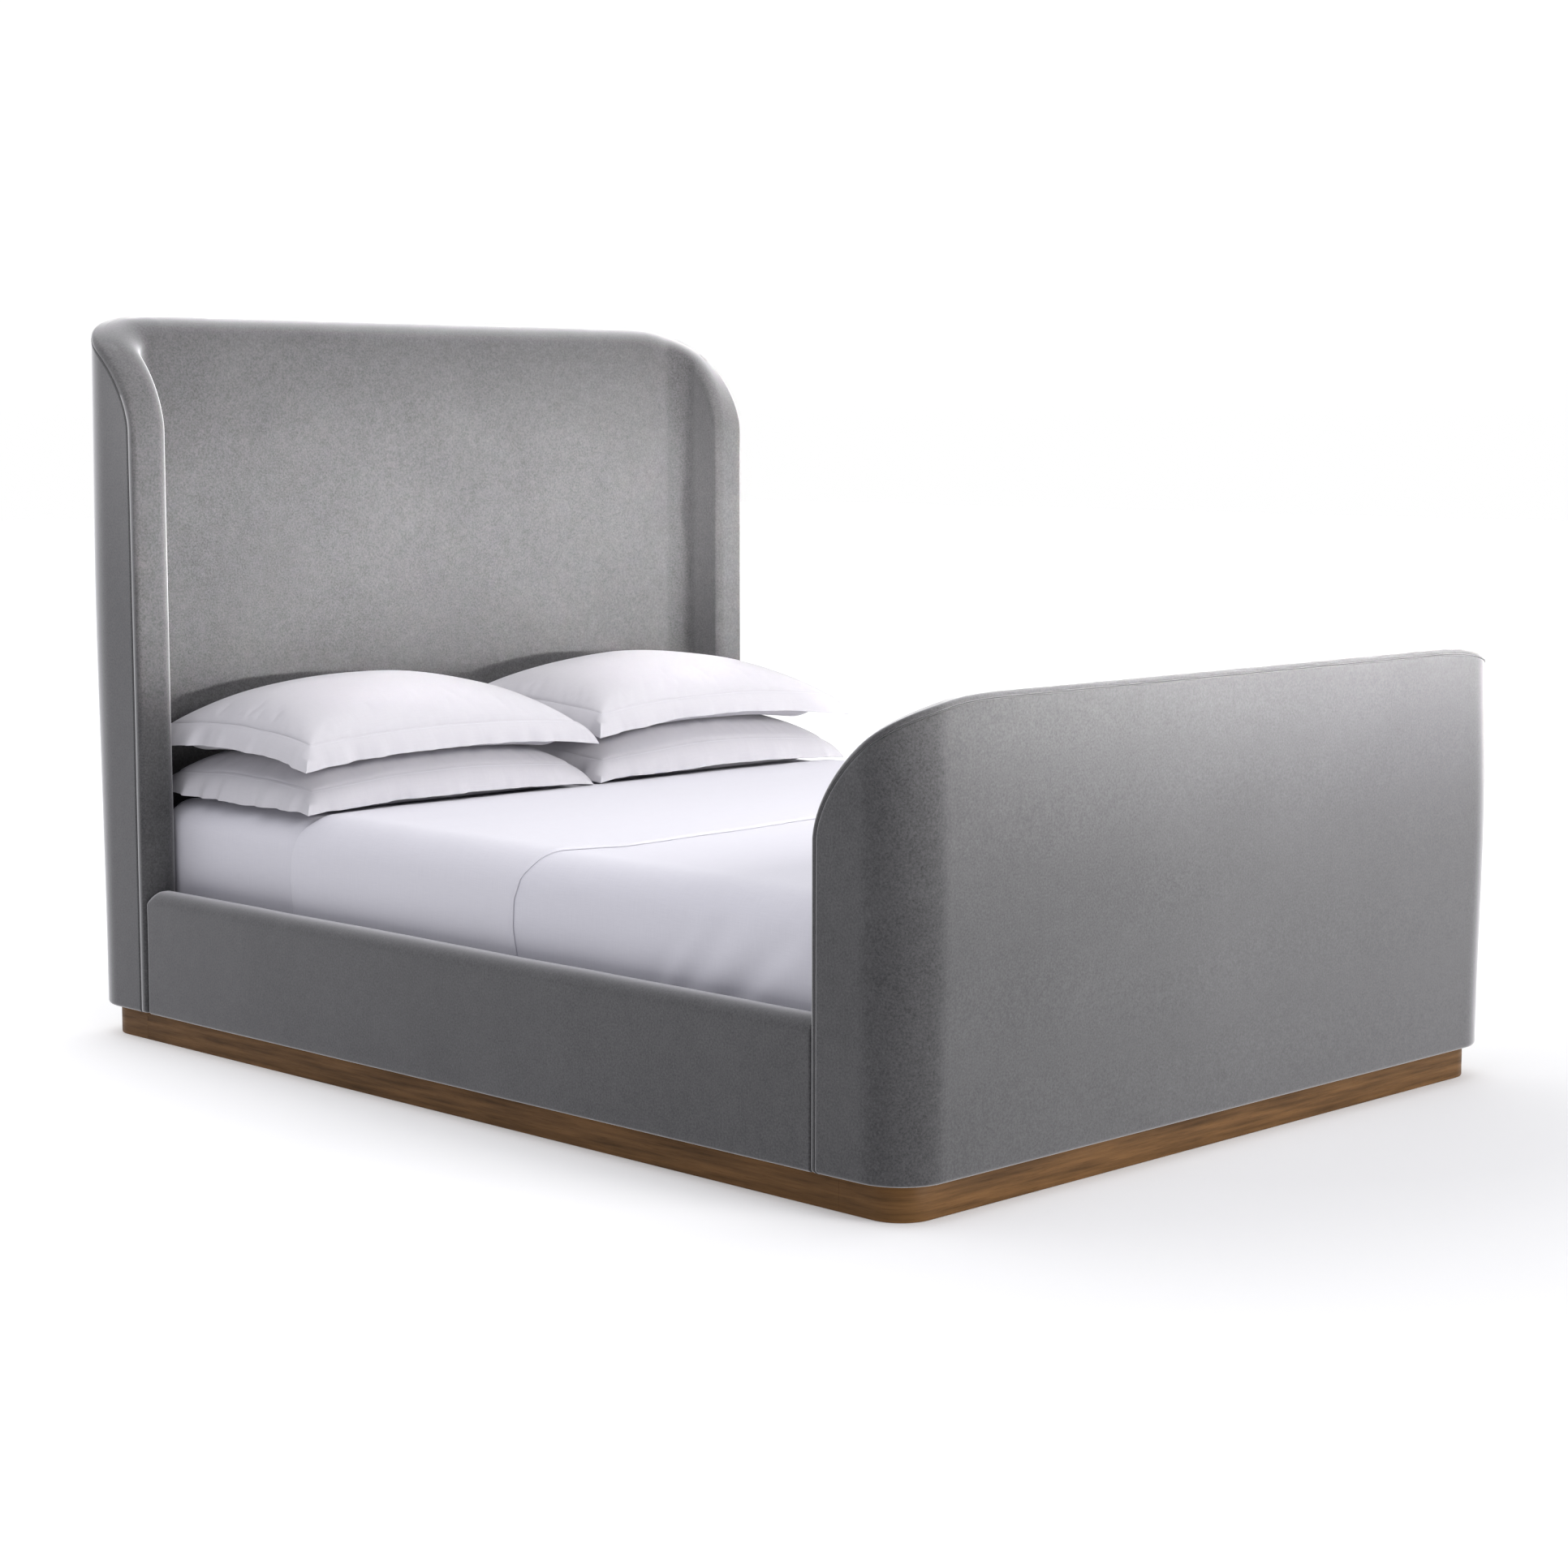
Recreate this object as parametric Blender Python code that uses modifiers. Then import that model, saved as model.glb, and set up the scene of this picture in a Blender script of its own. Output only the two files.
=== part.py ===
# Upholstered wing bed: shaped headboard and footboard, padded side rails, timber plinth,
# slatted base, mattress, bedding and four flanged pillows.
# Metres, +Z up, +Y towards the head of the bed, floor at z = 0.
import bpy
import bmesh
import math
from mathutils import Vector

# overall
bedWidth = 1.700
gap = 0.0003
shiftY = -0.0083          # puts the middle of the bowed length on the origin
groundGap = 0.0623        # underside of everything that stands on the plinth

# headboard and footboard, shared
wingEnd = 0.949           # distance of the wings' free ends from the bed's middle
cornerRadius = 0.095      # plan radius of the outer corners
shoulderRun = 0.310       # run of the shaped shoulder, measured round the outside
shoulderDrop = 0.238
shoulderPower = 1.70
wingThick = 0.080
innerRadius = 0.050
wrapWidth = 0.0195        # how far the face cover wraps on to the outside
coverFrac = 0.125         # outer cover's share of the wall thickness
coreFrac = (0.131, 0.594)

headBoard = {"end": 1, "top": 1.485, "ease": 0.005, "plane": 1.1555, "face": 1.075,
             "bow": 0.0225, "bowAt": 0.92, "bowBelow": 0.53, "bowAbove": 0.42}
footBoard = {"end": -1, "top": 0.842, "ease": 0.0085, "plane": 1.1535, "face": 1.0755,
             "bow": 0.0080, "bowAt": 0.50, "bowBelow": 0.30, "bowAbove": 0.24}

# side rails
railThick = 0.065
railTop = 0.3165
railRound = 0.028
railHeadGap = 0.005
railCoreThick = 0.038
railCoreTop = 0.285

# plinth
plinthWidth = 1.647
plinthLength = 2.258
plinthHeight = 0.062
plinthThick = 0.022
plinthRadius = 0.065
plinthReturn = 0.140

# slatted base
ledgeTop = 0.220
ledgeSize = 0.040
slatCount = 12
slatSize = (1.536, 0.070, 0.019)
slatSpan = 0.905
beamSize = (0.045, 0.070)
legAt = (-0.65, 0.0, 0.65)
legSize = 0.045
glideRadius = 0.019
glideHeight = 0.012

# mattress and bedding
mattressSize = (1.509, 2.032, 0.250)
mattressMiddle = 0.020
mattressRound = 0.045
bendSteps = 5
sheetThick = 0.0012
coverletThick = 0.0040
foldAt = 0.540            # folded head-side edge of the turned-down cuff
cuffEdgeAt = -0.150

# pillows
pillowSize = (0.758, 0.550)
pillowFlange = 0.052
pillowY = 0.785
pillowX = 0.382
pillowHeights = (0.110, 0.137)

collectionName = "wing_bed"


def clearScene():
    for thing in list(bpy.data.objects):
        bpy.data.objects.remove(thing, do_unlink=True)
    for group in list(bpy.data.collections):
        bpy.data.collections.remove(group)


def makeMaterial(name, colour, roughness, metallic=0.0):
    mat = bpy.data.materials.new(name)
    mat.use_nodes = True
    shader = mat.node_tree.nodes["Principled BSDF"]
    shader.inputs["Base Color"].default_value = (colour[0], colour[1], colour[2], 1.0)
    shader.inputs["Roughness"].default_value = roughness
    shader.inputs["Metallic"].default_value = metallic
    mat.diffuse_color = (colour[0], colour[1], colour[2], 1.0)
    return mat


def addMesh(name, verts, faces, mat, origin=(0.0, 0.0, 0.0)):
    """One closed mesh object in the bed's collection; verts are in bed coordinates."""
    start = Vector(origin)
    mesh = bpy.data.meshes.new(name)
    bm = bmesh.new()
    made = [bm.verts.new(Vector(v) - start) for v in verts]
    for face in faces:
        bm.faces.new([made[i] for i in face])
    bmesh.ops.recalc_face_normals(bm, faces=bm.faces)
    bm.to_mesh(mesh)
    bm.free()
    mesh.materials.append(mat)
    obj = bpy.data.objects.new(name, mesh)
    obj.location = start + Vector((0.0, shiftY, 0.0))
    parts.objects.link(obj)
    return obj


def boxPoints(low, high):
    xs, ys, zs = zip(low, high)
    return [(x, y, z) for z in zs for y in ys for x in xs]


boxFaces = [(0, 1, 3, 2), (4, 6, 7, 5), (0, 4, 5, 1), (2, 3, 7, 6), (0, 2, 6, 4), (1, 5, 7, 3)]


def addBox(name, low, high, mat, edge=0.0, segments=1):
    """Box with its origin at its own centre and, if asked, rounded edges."""
    middle = [(a + b) / 2 for a, b in zip(low, high)]
    obj = addMesh(name, boxPoints(low, high), boxFaces, mat, middle)
    if edge > 0.0:
        bevel = obj.modifiers.new("edges", "BEVEL")
        bevel.width = edge
        bevel.segments = segments
        bevel.limit_method = "NONE"
    return obj


def addPrism(name, outline, low, high, mat, axis="z"):
    """Flat outline pushed along Z (outline is x, y) or along Y (outline is x, z)."""
    count = len(outline)
    if axis == "z":
        verts = [(x, y, low) for x, y in outline] + [(x, y, high) for x, y in outline]
    else:
        verts = [(x, low, z) for x, z in outline] + [(x, high, z) for x, z in outline]
    faces = [tuple(range(count)), tuple(range(count, 2 * count))]
    faces += [(i, (i + 1) % count, count + (i + 1) % count, count + i) for i in range(count)]
    middle = [sum(v[k] for v in verts) / len(verts) for k in range(3)]
    return addMesh(name, verts, faces, mat, middle)


def addTurned(name, radius, low, high, at, mat, sides=20):
    ring = [(at[0] + radius * math.cos(2 * math.pi * i / sides),
             at[1] + radius * math.sin(2 * math.pi * i / sides)) for i in range(sides)]
    return addPrism(name, ring, low, high, mat)


def cutBoxes(obj, boxes):
    """Cuts box pockets out of a finished node."""
    for index, (low, high) in enumerate(boxes):
        tool = addBox("cut_%s_%d" % (obj.name, index), low, high, obj.data.materials[0])
        parts.objects.unlink(tool)
        tools.objects.link(tool)
        tool.display_type = "WIRE"
        tool.hide_render = True
        cut = obj.modifiers.new("pocket", "BOOLEAN")
        cut.operation = "DIFFERENCE"
        cut.solver = "EXACT"
        cut.object = tool


# wrapped boards

arcRun = cornerRadius * math.pi / 2


def boardHalf(board):
    return board["plane"] - cornerRadius - wingEnd + arcRun + bedWidth / 2 - cornerRadius


def bowOut(board, z):
    away = z - board["bowAt"]
    reach = board["bowBelow"] if away < 0 else board["bowAbove"]
    return board["bow"] * math.exp(-(away / reach) ** 2)


def wallPoint(board, s, z, depth):
    """Point on a U-shaped wall: s round the outside, depth 0 outside to 1 inside."""
    half = boardHalf(board)
    side = -1.0 if s <= half else 1.0
    run = s if s <= half else 2 * half - s
    straight = board["plane"] - cornerRadius - wingEnd
    faceX = bedWidth / 2 - wingThick
    if run <= straight:
        part = run / straight
        outer = Vector((bedWidth / 2, wingEnd + run))
        inner = Vector((faceX, wingEnd + part * (board["face"] - innerRadius - wingEnd)))
    elif run <= straight + arcRun:
        turn = (run - straight) / cornerRadius
        way = Vector((math.cos(turn), math.sin(turn)))
        outer = Vector((bedWidth / 2 - cornerRadius, board["plane"] - cornerRadius)) + cornerRadius * way
        inner = Vector((faceX - innerRadius, board["face"] - innerRadius)) + innerRadius * way
        outer.y += bowOut(board, z) * math.sin(turn)
    else:
        part = (run - straight - arcRun) / (bedWidth / 2 - cornerRadius)
        outer = Vector(((bedWidth / 2 - cornerRadius) * (1 - part), board["plane"] + bowOut(board, z)))
        inner = Vector(((faceX - innerRadius) * (1 - part), board["face"]))
    flat = outer.lerp(inner, depth)
    return (side * flat.x, board["end"] * flat.y, z)


def easeDown(board, s):
    """How far the shaped edge dips where the shoulder runs into the level top."""
    away = s - shoulderRun
    return board["ease"] * math.exp(-(away / (0.075 if away < 0 else 0.060)) ** 2)


def edgeStations(board, inset, turns=11):
    """Stations (s, top z) round the board at a given inset from its shaped edge."""
    half = boardHalf(board)
    left = []
    for step in range(turns + 1):
        angle = 0.5 * math.pi * step / turns
        across = max(math.cos(angle), 0.0) ** (2 / shoulderPower)
        up = math.sin(angle) ** (2 / shoulderPower)
        lean = Vector((across ** (shoulderPower - 1) / shoulderRun, up ** (shoulderPower - 1) / shoulderDrop))
        lean.normalize()
        s = shoulderRun * (1 - across) + inset * lean.x
        z = board["top"] - shoulderDrop * (1 - up) - inset * lean.y - easeDown(board, shoulderRun * (1 - across))
        left.append((s, z))
    top = board["top"] - inset
    for further in (0.035, 0.075, 0.130):
        left.append((shoulderRun + further, top - easeDown(board, shoulderRun + further)))
    left.append(((shoulderRun + half) / 2, top))
    left.append((half, top))
    right = [(2 * half - s, z) for s, z in reversed(left[:-1])]
    return left + right


def boardRows(board, top, rows):
    return [groundGap + (top - groundGap) * j / rows for j in range(rows + 1)]


def edgeChain(board, inset, depth, rows):
    """Points up one free end, over the shaped top and down the other end."""
    stations = edgeStations(board, inset)
    low = boardRows(board, stations[0][1], rows)
    chain = [wallPoint(board, stations[0][0], z, depth) for z in low]
    chain += [wallPoint(board, s, z, depth) for s, z in stations[1:-1]]
    chain += [wallPoint(board, stations[-1][0], z, depth) for z in reversed(low)]
    return chain


def addWrapped(name, board, rings, mat, rows=7):
    """Closed U-shaped layer. rings lists (inset, depth) from its inside face to its outside face."""
    verts = []
    faces = []
    grids = []
    for inset, depth in (rings[0], rings[-1]):
        stations = edgeStations(board, inset)
        start = len(verts)
        for s, top in stations:
            verts += [wallPoint(board, s, z, depth) for z in boardRows(board, top, rows)]
        grids.append((start, len(stations)))
    columns = grids[0][1]
    step = rows + 1

    def gridEdge(start):
        up = [start + j for j in range(step)]
        over = [start + i * step + rows for i in range(1, columns - 1)]
        down = [start + (columns - 1) * step + j for j in reversed(range(step))]
        return up + over + down

    for start, count in grids:
        for i in range(count - 1):
            for j in range(rows):
                at = start + i * step + j
                if i < (count - 1) / 2:
                    faces += [(at, at + step, at + step + 1), (at, at + step + 1, at + 1)]
                else:
                    faces += [(at, at + step, at + 1), (at + step, at + step + 1, at + 1)]
    chains = [gridEdge(grids[0][0])]
    for inset, depth in rings[1:-1]:
        start = len(verts)
        chain = edgeChain(board, inset, depth, rows)
        verts += chain
        chains.append(list(range(start, start + len(chain))))
    chains.append(gridEdge(grids[1][0]))
    # matching diagonals keep the twisted faces of neighbouring layers parallel
    for k in range(len(chains) - 1):
        deep, shallow = (chains[k], chains[k + 1]) if rings[k][1] > rings[k + 1][1] else (chains[k + 1], chains[k])
        for i in range(len(deep) - 1):
            if i < (len(deep) - 1) / 2:
                faces += [(deep[i], deep[i + 1], shallow[i]), (deep[i + 1], shallow[i + 1], shallow[i])]
            else:
                faces += [(deep[i], deep[i + 1], shallow[i + 1]), (deep[i], shallow[i + 1], shallow[i])]
    for i in range(columns - 1):
        a = grids[0][0] + i * step
        b = grids[1][0] + i * step
        faces.append((a, b, b + step, a + step))
    if len(chains) > 2:
        faces.append(tuple(chain[0] for chain in chains))
        faces.append(tuple(chain[-1] for chain in chains))
    return addMesh(name, verts, faces, mat)


def addWelt(name, board, inset, depth, radius, mat, rows=7, sides=6):
    """Piping that follows the seam round the outside of a board."""
    path = [Vector(p) for p in edgeChain(board, inset, depth, rows)]
    inside = [Vector(p) for p in edgeChain(board, inset, depth + 0.2, rows)]
    verts = []
    faces = []
    for i, here in enumerate(path):
        ahead = (path[min(i + 1, len(path) - 1)] - path[max(i - 1, 0)]).normalized()
        inward = (inside[i] - here).normalized()
        inward = (inward - ahead * inward.dot(ahead)).normalized()
        across = ahead.cross(inward)
        for k in range(sides):
            angle = 2 * math.pi * k / sides
            verts.append(here + radius * (inward * math.cos(angle) + across * math.sin(angle)))
    for i in range(len(path) - 1):
        for k in range(sides):
            a = i * sides + k
            b = i * sides + (k + 1) % sides
            faces.append((a, b, b + sides, a + sides))
    faces.append(tuple(range(sides)))
    faces.append(tuple(range(len(verts) - sides, len(verts))))
    return addMesh(name, verts, faces, mat)


def buildBoard(label, board):
    """Timber frame, outside cover, face cover with its wrapped edge, and the welt between them."""
    inner = addWrapped(label + "_face_cover", board,
                       [(0.030, 1.0), (0.014, 0.965), (0.004, 0.87), (0.0, 0.72), (0.0, 0.16),
                        (0.004, 0.04), (wrapWidth, 0.0), (wrapWidth, coreFrac[0]), (wrapWidth, coreFrac[1] + 0.006)], fabric)
    addWrapped(label + "_outer_cover", board, [(wrapWidth + 0.003, coverFrac), (wrapWidth + 0.003, 0.0)], fabric)
    addWrapped(label + "_frame", board,
               [(wrapWidth + 0.0005, coreFrac[1]), (wrapWidth + 0.0005, coreFrac[0])], timber)
    addWelt(label + "_welt", board, wrapWidth + 0.0015, 0.009, 0.0011, fabric)
    pockets = []
    for side in (-1, 1):
        xs = sorted((side * (bedWidth / 2 - 0.0150), side * (bedWidth / 2 - 0.0470)))
        ys = sorted((board["end"] * (wingEnd - 0.01), board["end"] * (wingEnd + 0.0050)))
        pockets.append(((xs[0], ys[0], 0.100), (xs[1], ys[1], 0.260)))
        plate = sorted((board["end"] * (wingEnd + gap), board["end"] * (wingEnd + 0.0050 - gap)))
        hand = "left" if side < 0 else "right"
        addBox("%s_rail_socket_%s" % (label, hand), (xs[0] + gap, plate[0], 0.100 + gap),
               (xs[1] - gap, plate[1], 0.260 - gap), steel)
    cutBoxes(inner, pockets)


# side rails

def railOutline(side):
    """Outline of a rail cover across the rail: rounded top, open slot for the board inside."""
    out = bedWidth / 2
    into = out - railThick
    points = [(out, groundGap)]
    for k in range(6):
        angle = 0.5 * math.pi * k / 5
        points.append((out - railRound + railRound * math.cos(angle), railTop - railRound + railRound * math.sin(angle)))
    for k in range(6):
        angle = 0.5 * math.pi * (1 + k / 5)
        points.append((into + railRound + railRound * math.cos(angle), railTop - railRound + railRound * math.sin(angle)))
    points.append((into, groundGap))
    middle = (out + into) / 2
    half = railCoreThick / 2 + gap
    points += [(middle - half, groundGap), (middle - half, railCoreTop + gap),
               (middle + half, railCoreTop + gap), (middle + half, groundGap)]
    return [(side * x, z) for x, z in points]


def buildRails():
    low = -wingEnd + gap
    high = wingEnd - railHeadGap
    for side, hand in ((-1, "left"), (1, "right")):
        addPrism("side_rail_%s_cover" % hand, railOutline(side), low, high, fabric, axis="y")
        middle = side * (bedWidth / 2 - railThick / 2)
        half = railCoreThick / 2
        addBox("side_rail_%s_board" % hand, (middle - half, low + 0.005, groundGap),
               (middle + half, high - 0.005, railCoreTop), timber)
        for end, ends in (("foot", (low, low + 0.005 - gap)), ("head", (high - 0.005 + gap, high))):
            addBox("side_rail_%s_hook_plate_%s" % (hand, end), (middle - half + 0.004, ends[0], 0.100),
                   (middle + half - 0.004, ends[1], 0.260), steel)


# plinth

def roundedEnd(width, length, radius, back, steps=6):
    """Half of a rounded rectangle: from its left side, round the far end, to its right side."""
    points = [(-width / 2, back)]
    for turn in range(steps + 1):
        angle = math.pi - 0.5 * math.pi * turn / steps
        points.append((-width / 2 + radius + radius * math.cos(angle), length / 2 - radius + radius * math.sin(angle)))
    return points + [(-x, y) for x, y in reversed(points)]


def buildPlinth():
    back = plinthLength / 2 - plinthReturn
    for end, label in ((-1, "foot"), (1, "head")):
        outer = roundedEnd(plinthWidth, plinthLength, plinthRadius, back)
        inner = roundedEnd(plinthWidth - 2 * plinthThick, plinthLength - 2 * plinthThick,
                           plinthRadius - plinthThick, back)
        outline = [(x, end * y) for x, y in outer + list(reversed(inner))]
        addPrism("plinth_%s" % label, outline, 0.0, plinthHeight, walnut)
    for side, label in ((-1, "left"), (1, "right")):
        xs = sorted((side * plinthWidth / 2, side * (plinthWidth / 2 - plinthThick)))
        addBox("plinth_%s" % label, (xs[0], -back + gap, 0.0), (xs[1], back - gap, plinthHeight), walnut)


# slatted base

def buildBase():
    inside = bedWidth / 2 - railThick - gap
    for side, label in ((-1, "left"), (1, "right")):
        xs = sorted((side * inside, side * (inside - ledgeSize)))
        addBox("slat_ledge_%s" % label, (xs[0], -0.935, ledgeTop - ledgeSize), (xs[1], 0.935, ledgeTop), pine)
    reach = headBoard["face"] - 0.0045
    addBox("centre_beam", (-beamSize[0] / 2, -reach, ledgeTop - beamSize[1]), (beamSize[0] / 2, reach, ledgeTop), pine)
    for end, label in ((-1, "foot"), (1, "head")):
        face = end * (reach + 0.0003)
        lip = end * (reach - 0.040)
        under = ledgeTop - beamSize[1] - gap
        wall = end * (reach + 0.0040)
        outline = [(wall, ledgeTop), (wall, under - 0.003), (lip, under - 0.003), (lip, under), (face, under), (face, ledgeTop)]
        verts = [(x, y, z) for x in (-0.030, 0.030) for y, z in outline]
        count = len(outline)
        faces = [tuple(range(count)), tuple(range(count, 2 * count))]
        faces += [(i, (i + 1) % count, count + (i + 1) % count, count + i) for i in range(count)]
        addMesh("beam_bracket_%s" % label, verts, faces, steel)
    for index, y in enumerate(legAt):
        half = legSize / 2
        addBox("centre_leg_%d" % (index + 1), (-half, y - half, glideHeight + gap),
               (half, y + half, ledgeTop - beamSize[1] - gap), pine)
        addTurned("leg_glide_%d" % (index + 1), glideRadius, 0.0, glideHeight, (0.0, y), plastic)
    for index in range(slatCount):
        y = -slatSpan + 2 * slatSpan * index / (slatCount - 1)
        addBox("slat_%02d" % (index + 1), (-slatSize[0] / 2, y - slatSize[1] / 2, ledgeTop + gap),
               (slatSize[0] / 2, y + slatSize[1] / 2, ledgeTop + gap + slatSize[2]), pine)


# mattress and bedding

mattressLow = ledgeTop + gap + slatSize[2] + gap
mattressHigh = mattressLow + mattressSize[2]


def bedProfile(out, steps=bendSteps):
    """Outline across the bed: up the left side, over the rounded top, down the right side."""
    half = mattressSize[0] / 2 + out
    radius = mattressRound + out
    top = mattressHigh + out
    points = [(-half, mattressLow)]
    for k in range(steps + 1):
        angle = math.pi - 0.5 * math.pi * k / steps
        points.append((-half + radius + radius * math.cos(angle), top - radius + radius * math.sin(angle)))
    return points + [(-x, z) for x, z in reversed(points)]


def addDraped(name, profile, mat):
    """Cloth over the bed: profile lists (y, distance off the mattress) round the cloth's own section."""
    lanes = [[(x, y, z) for x, z in bedProfile(out)] for y, out in profile]
    length = len(lanes[0])
    verts = [v for lane in lanes for v in lane]
    count = len(profile)
    faces = []
    for i in range(count):
        a = i * length
        b = ((i + 1) % count) * length
        for k in range(length - 1):
            faces.append((a + k, a + k + 1, b + k + 1, b + k))
    faces.append(tuple(i * length for i in range(count)))
    faces.append(tuple(i * length + length - 1 for i in range(count)))
    return addMesh(name, verts, faces, mat)


def addTray(name, low, high, thick, mat):
    """Fitted sheet: an upturned tray with rounded upper edges, open underneath."""
    steps = bendSteps
    ends = (mattressMiddle - mattressSize[1] / 2, mattressMiddle + mattressSize[1] / 2)

    def skin(out):
        half = mattressSize[0] / 2 + out
        rings = [(0.0, low)]
        radius = mattressRound + out
        for k in range(steps + 1):
            angle = 0.5 * math.pi * k / steps
            rings.append((radius * (1 - math.cos(angle)), high + out - radius + radius * math.sin(angle)))
        found = []
        for inset, z in rings:
            corner = max(radius - inset, 0.006)
            x = half - inset
            y0 = ends[0] - out + inset
            y1 = ends[1] + out - inset
            ring = []
            for cx, cy, start in ((x, y1, 0.0), (-x, y1, 0.5), (-x, y0, 1.0), (x, y0, 1.5)):
                sx = 1 if cx > 0 else -1
                sy = 1 if cy == y1 else -1
                for k in range(steps + 1):
                    angle = math.pi * (start + 0.5 * k / steps)
                    ring.append((cx - sx * corner + corner * math.cos(angle),
                                 cy - sy * corner + corner * math.sin(angle), z))
            found.append(ring)
        return found

    outer = skin(thick[1])
    inner = skin(thick[0]) if thick[0] > 0 else None
    size = len(outer[0])
    verts = [v for ring in outer for v in ring]
    faces = []

    def sides(start, rings):
        for i in range(rings - 1):
            for k in range(size):
                a = start + i * size + k
                b = start + i * size + (k + 1) % size
                faces.append((a, b, b + size, a + size))

    sides(0, len(outer))
    faces.append(tuple(range(len(verts) - size, len(verts))))
    if inner is None:
        faces.append(tuple(range(size)))
        return addMesh(name, verts, faces, mat, (0.0, mattressMiddle, low))
    second = len(verts)
    verts += [v for ring in inner for v in ring]
    sides(second, len(inner))
    faces.append(tuple(range(len(verts) - size, len(verts))))
    for k in range(size):
        faces.append((k, (k + 1) % size, second + (k + 1) % size, second + k))
    return addMesh(name, verts, faces, mat, (0.0, mattressMiddle, low))


def buildBedding():
    addTray("mattress", mattressLow, mattressHigh, (0.0, 0.0), ticking)
    first = gap + sheetThick
    addTray("fitted_sheet", mattressLow, mattressHigh, (gap, first), linen)
    foot = mattressMiddle - mattressSize[1] / 2 + 0.006
    under = first + gap
    over = under + sheetThick + gap
    top = over + coverletThick + gap
    addDraped("flat_sheet", [(foot, under), (foldAt, under), (foldAt, top + sheetThick), (cuffEdgeAt, top + sheetThick),
                             (cuffEdgeAt, top), (foldAt - 0.004, top), (foldAt - 0.004, under + sheetThick),
                             (foot, under + sheetThick)], linen)
    addDraped("coverlet", [(foot, over), (foldAt - 0.010, over), (foldAt - 0.010, over + coverletThick),
                           (foot, over + coverletThick)], quilt)
    return top + sheetThick


def addPillow(name, x, low, height, mat):
    """Plain cushion: flat underneath, domed on top, with a thin border all round."""
    across, along = pillowSize
    lanes = 12
    rows = 10
    edge = 0.008

    def at(i, j):
        u = 2 * i / lanes - 1
        v = 2 * j / rows - 1
        round_u = u * (1 - 0.035 * v * v)
        round_v = v * (1 - 0.050 * u * u)
        pu = min(abs(round_u) * across / (across - 2 * pillowFlange), 1.0)
        pv = min(abs(round_v) * along / (along - 2 * pillowFlange), 1.0)
        rise = (1 - pu ** 3) ** 0.6 * (1 - pv ** 3) ** 0.6
        return round_u * across / 2, round_v * along / 2, edge + (height - edge) * rise

    verts = []
    for i in range(lanes + 1):
        for j in range(rows + 1):
            dx, dy, up = at(i, j)
            verts.append((x + dx, pillowY + dy, low + up))
    faces = []
    step = rows + 1
    for i in range(lanes):
        for j in range(rows):
            a = i * step + j
            faces.append((a, a + step, a + step + 1, a + 1))
    rim = [j for j in range(step)]
    rim += [i * step + rows for i in range(1, lanes + 1)]
    rim += [lanes * step + j for j in reversed(range(rows))]
    rim += [i * step for i in reversed(range(1, lanes))]
    start = len(verts)
    verts += [(verts[k][0], verts[k][1], low) for k in rim]
    count = len(rim)
    for k in range(count):
        faces.append((rim[k], rim[(k + 1) % count], start + (k + 1) % count, start + k))
    faces.append(tuple(range(start, start + count)))
    return addMesh(name, verts, faces, mat, (x, pillowY, low))


def buildPillows(rest):
    for side, hand in ((-1, "left"), (1, "right")):
        low = rest + gap
        for level, height in zip(("lower", "upper"), pillowHeights):
            addPillow("pillow_%s_%s" % (hand, level), side * pillowX, low, height, linen)
            low += height + gap


clearScene()
parts = bpy.data.collections.new(collectionName)
tools = bpy.data.collections.new("cutters")
bpy.context.scene.collection.children.link(parts)
bpy.context.scene.collection.children.link(tools)
fabric = makeMaterial("grey_upholstery", (0.30, 0.31, 0.32), 0.9)
walnut = makeMaterial("walnut", (0.16, 0.085, 0.045), 0.45)
timber = makeMaterial("frame_timber", (0.55, 0.42, 0.27), 0.7)
pine = makeMaterial("slat_timber", (0.70, 0.56, 0.37), 0.6)
steel = makeMaterial("zinc_steel", (0.62, 0.62, 0.64), 0.35, 1.0)
plastic = makeMaterial("glide_plastic", (0.05, 0.05, 0.05), 0.5)
ticking = makeMaterial("mattress_ticking", (0.86, 0.86, 0.86), 0.9)
linen = makeMaterial("white_cotton", (0.88, 0.88, 0.90), 0.85)
quilt = makeMaterial("coverlet_cotton", (0.88, 0.88, 0.91), 0.85)

buildBoard("headboard", headBoard)
buildBoard("footboard", footBoard)
buildRails()
buildPlinth()
buildBase()
buildPillows(mattressHigh + buildBedding())
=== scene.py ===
import bpy
import bmesh
import math
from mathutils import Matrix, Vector, noise


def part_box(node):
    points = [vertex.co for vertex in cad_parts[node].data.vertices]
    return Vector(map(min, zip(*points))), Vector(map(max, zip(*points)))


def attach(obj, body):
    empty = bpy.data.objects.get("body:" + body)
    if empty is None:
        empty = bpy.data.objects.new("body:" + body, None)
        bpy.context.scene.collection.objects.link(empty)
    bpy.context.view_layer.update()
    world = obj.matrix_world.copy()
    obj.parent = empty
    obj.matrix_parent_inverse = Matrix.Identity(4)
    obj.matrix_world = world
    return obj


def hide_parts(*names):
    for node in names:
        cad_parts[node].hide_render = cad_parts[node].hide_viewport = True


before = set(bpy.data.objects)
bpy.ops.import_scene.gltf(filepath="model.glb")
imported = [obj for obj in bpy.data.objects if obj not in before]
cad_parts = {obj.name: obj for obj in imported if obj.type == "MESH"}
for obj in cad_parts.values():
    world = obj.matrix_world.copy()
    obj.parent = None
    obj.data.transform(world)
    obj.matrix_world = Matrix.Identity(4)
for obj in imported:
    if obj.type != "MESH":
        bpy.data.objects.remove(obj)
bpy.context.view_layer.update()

# the boards are drawn about the middle of their straight parts; the frame's middle allows for the bowed back
middleY = -0.0083
standAt = 0.0623  # underside of everything that stands on the plinth

print("frame loaded")


# shared mesh helpers

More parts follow.
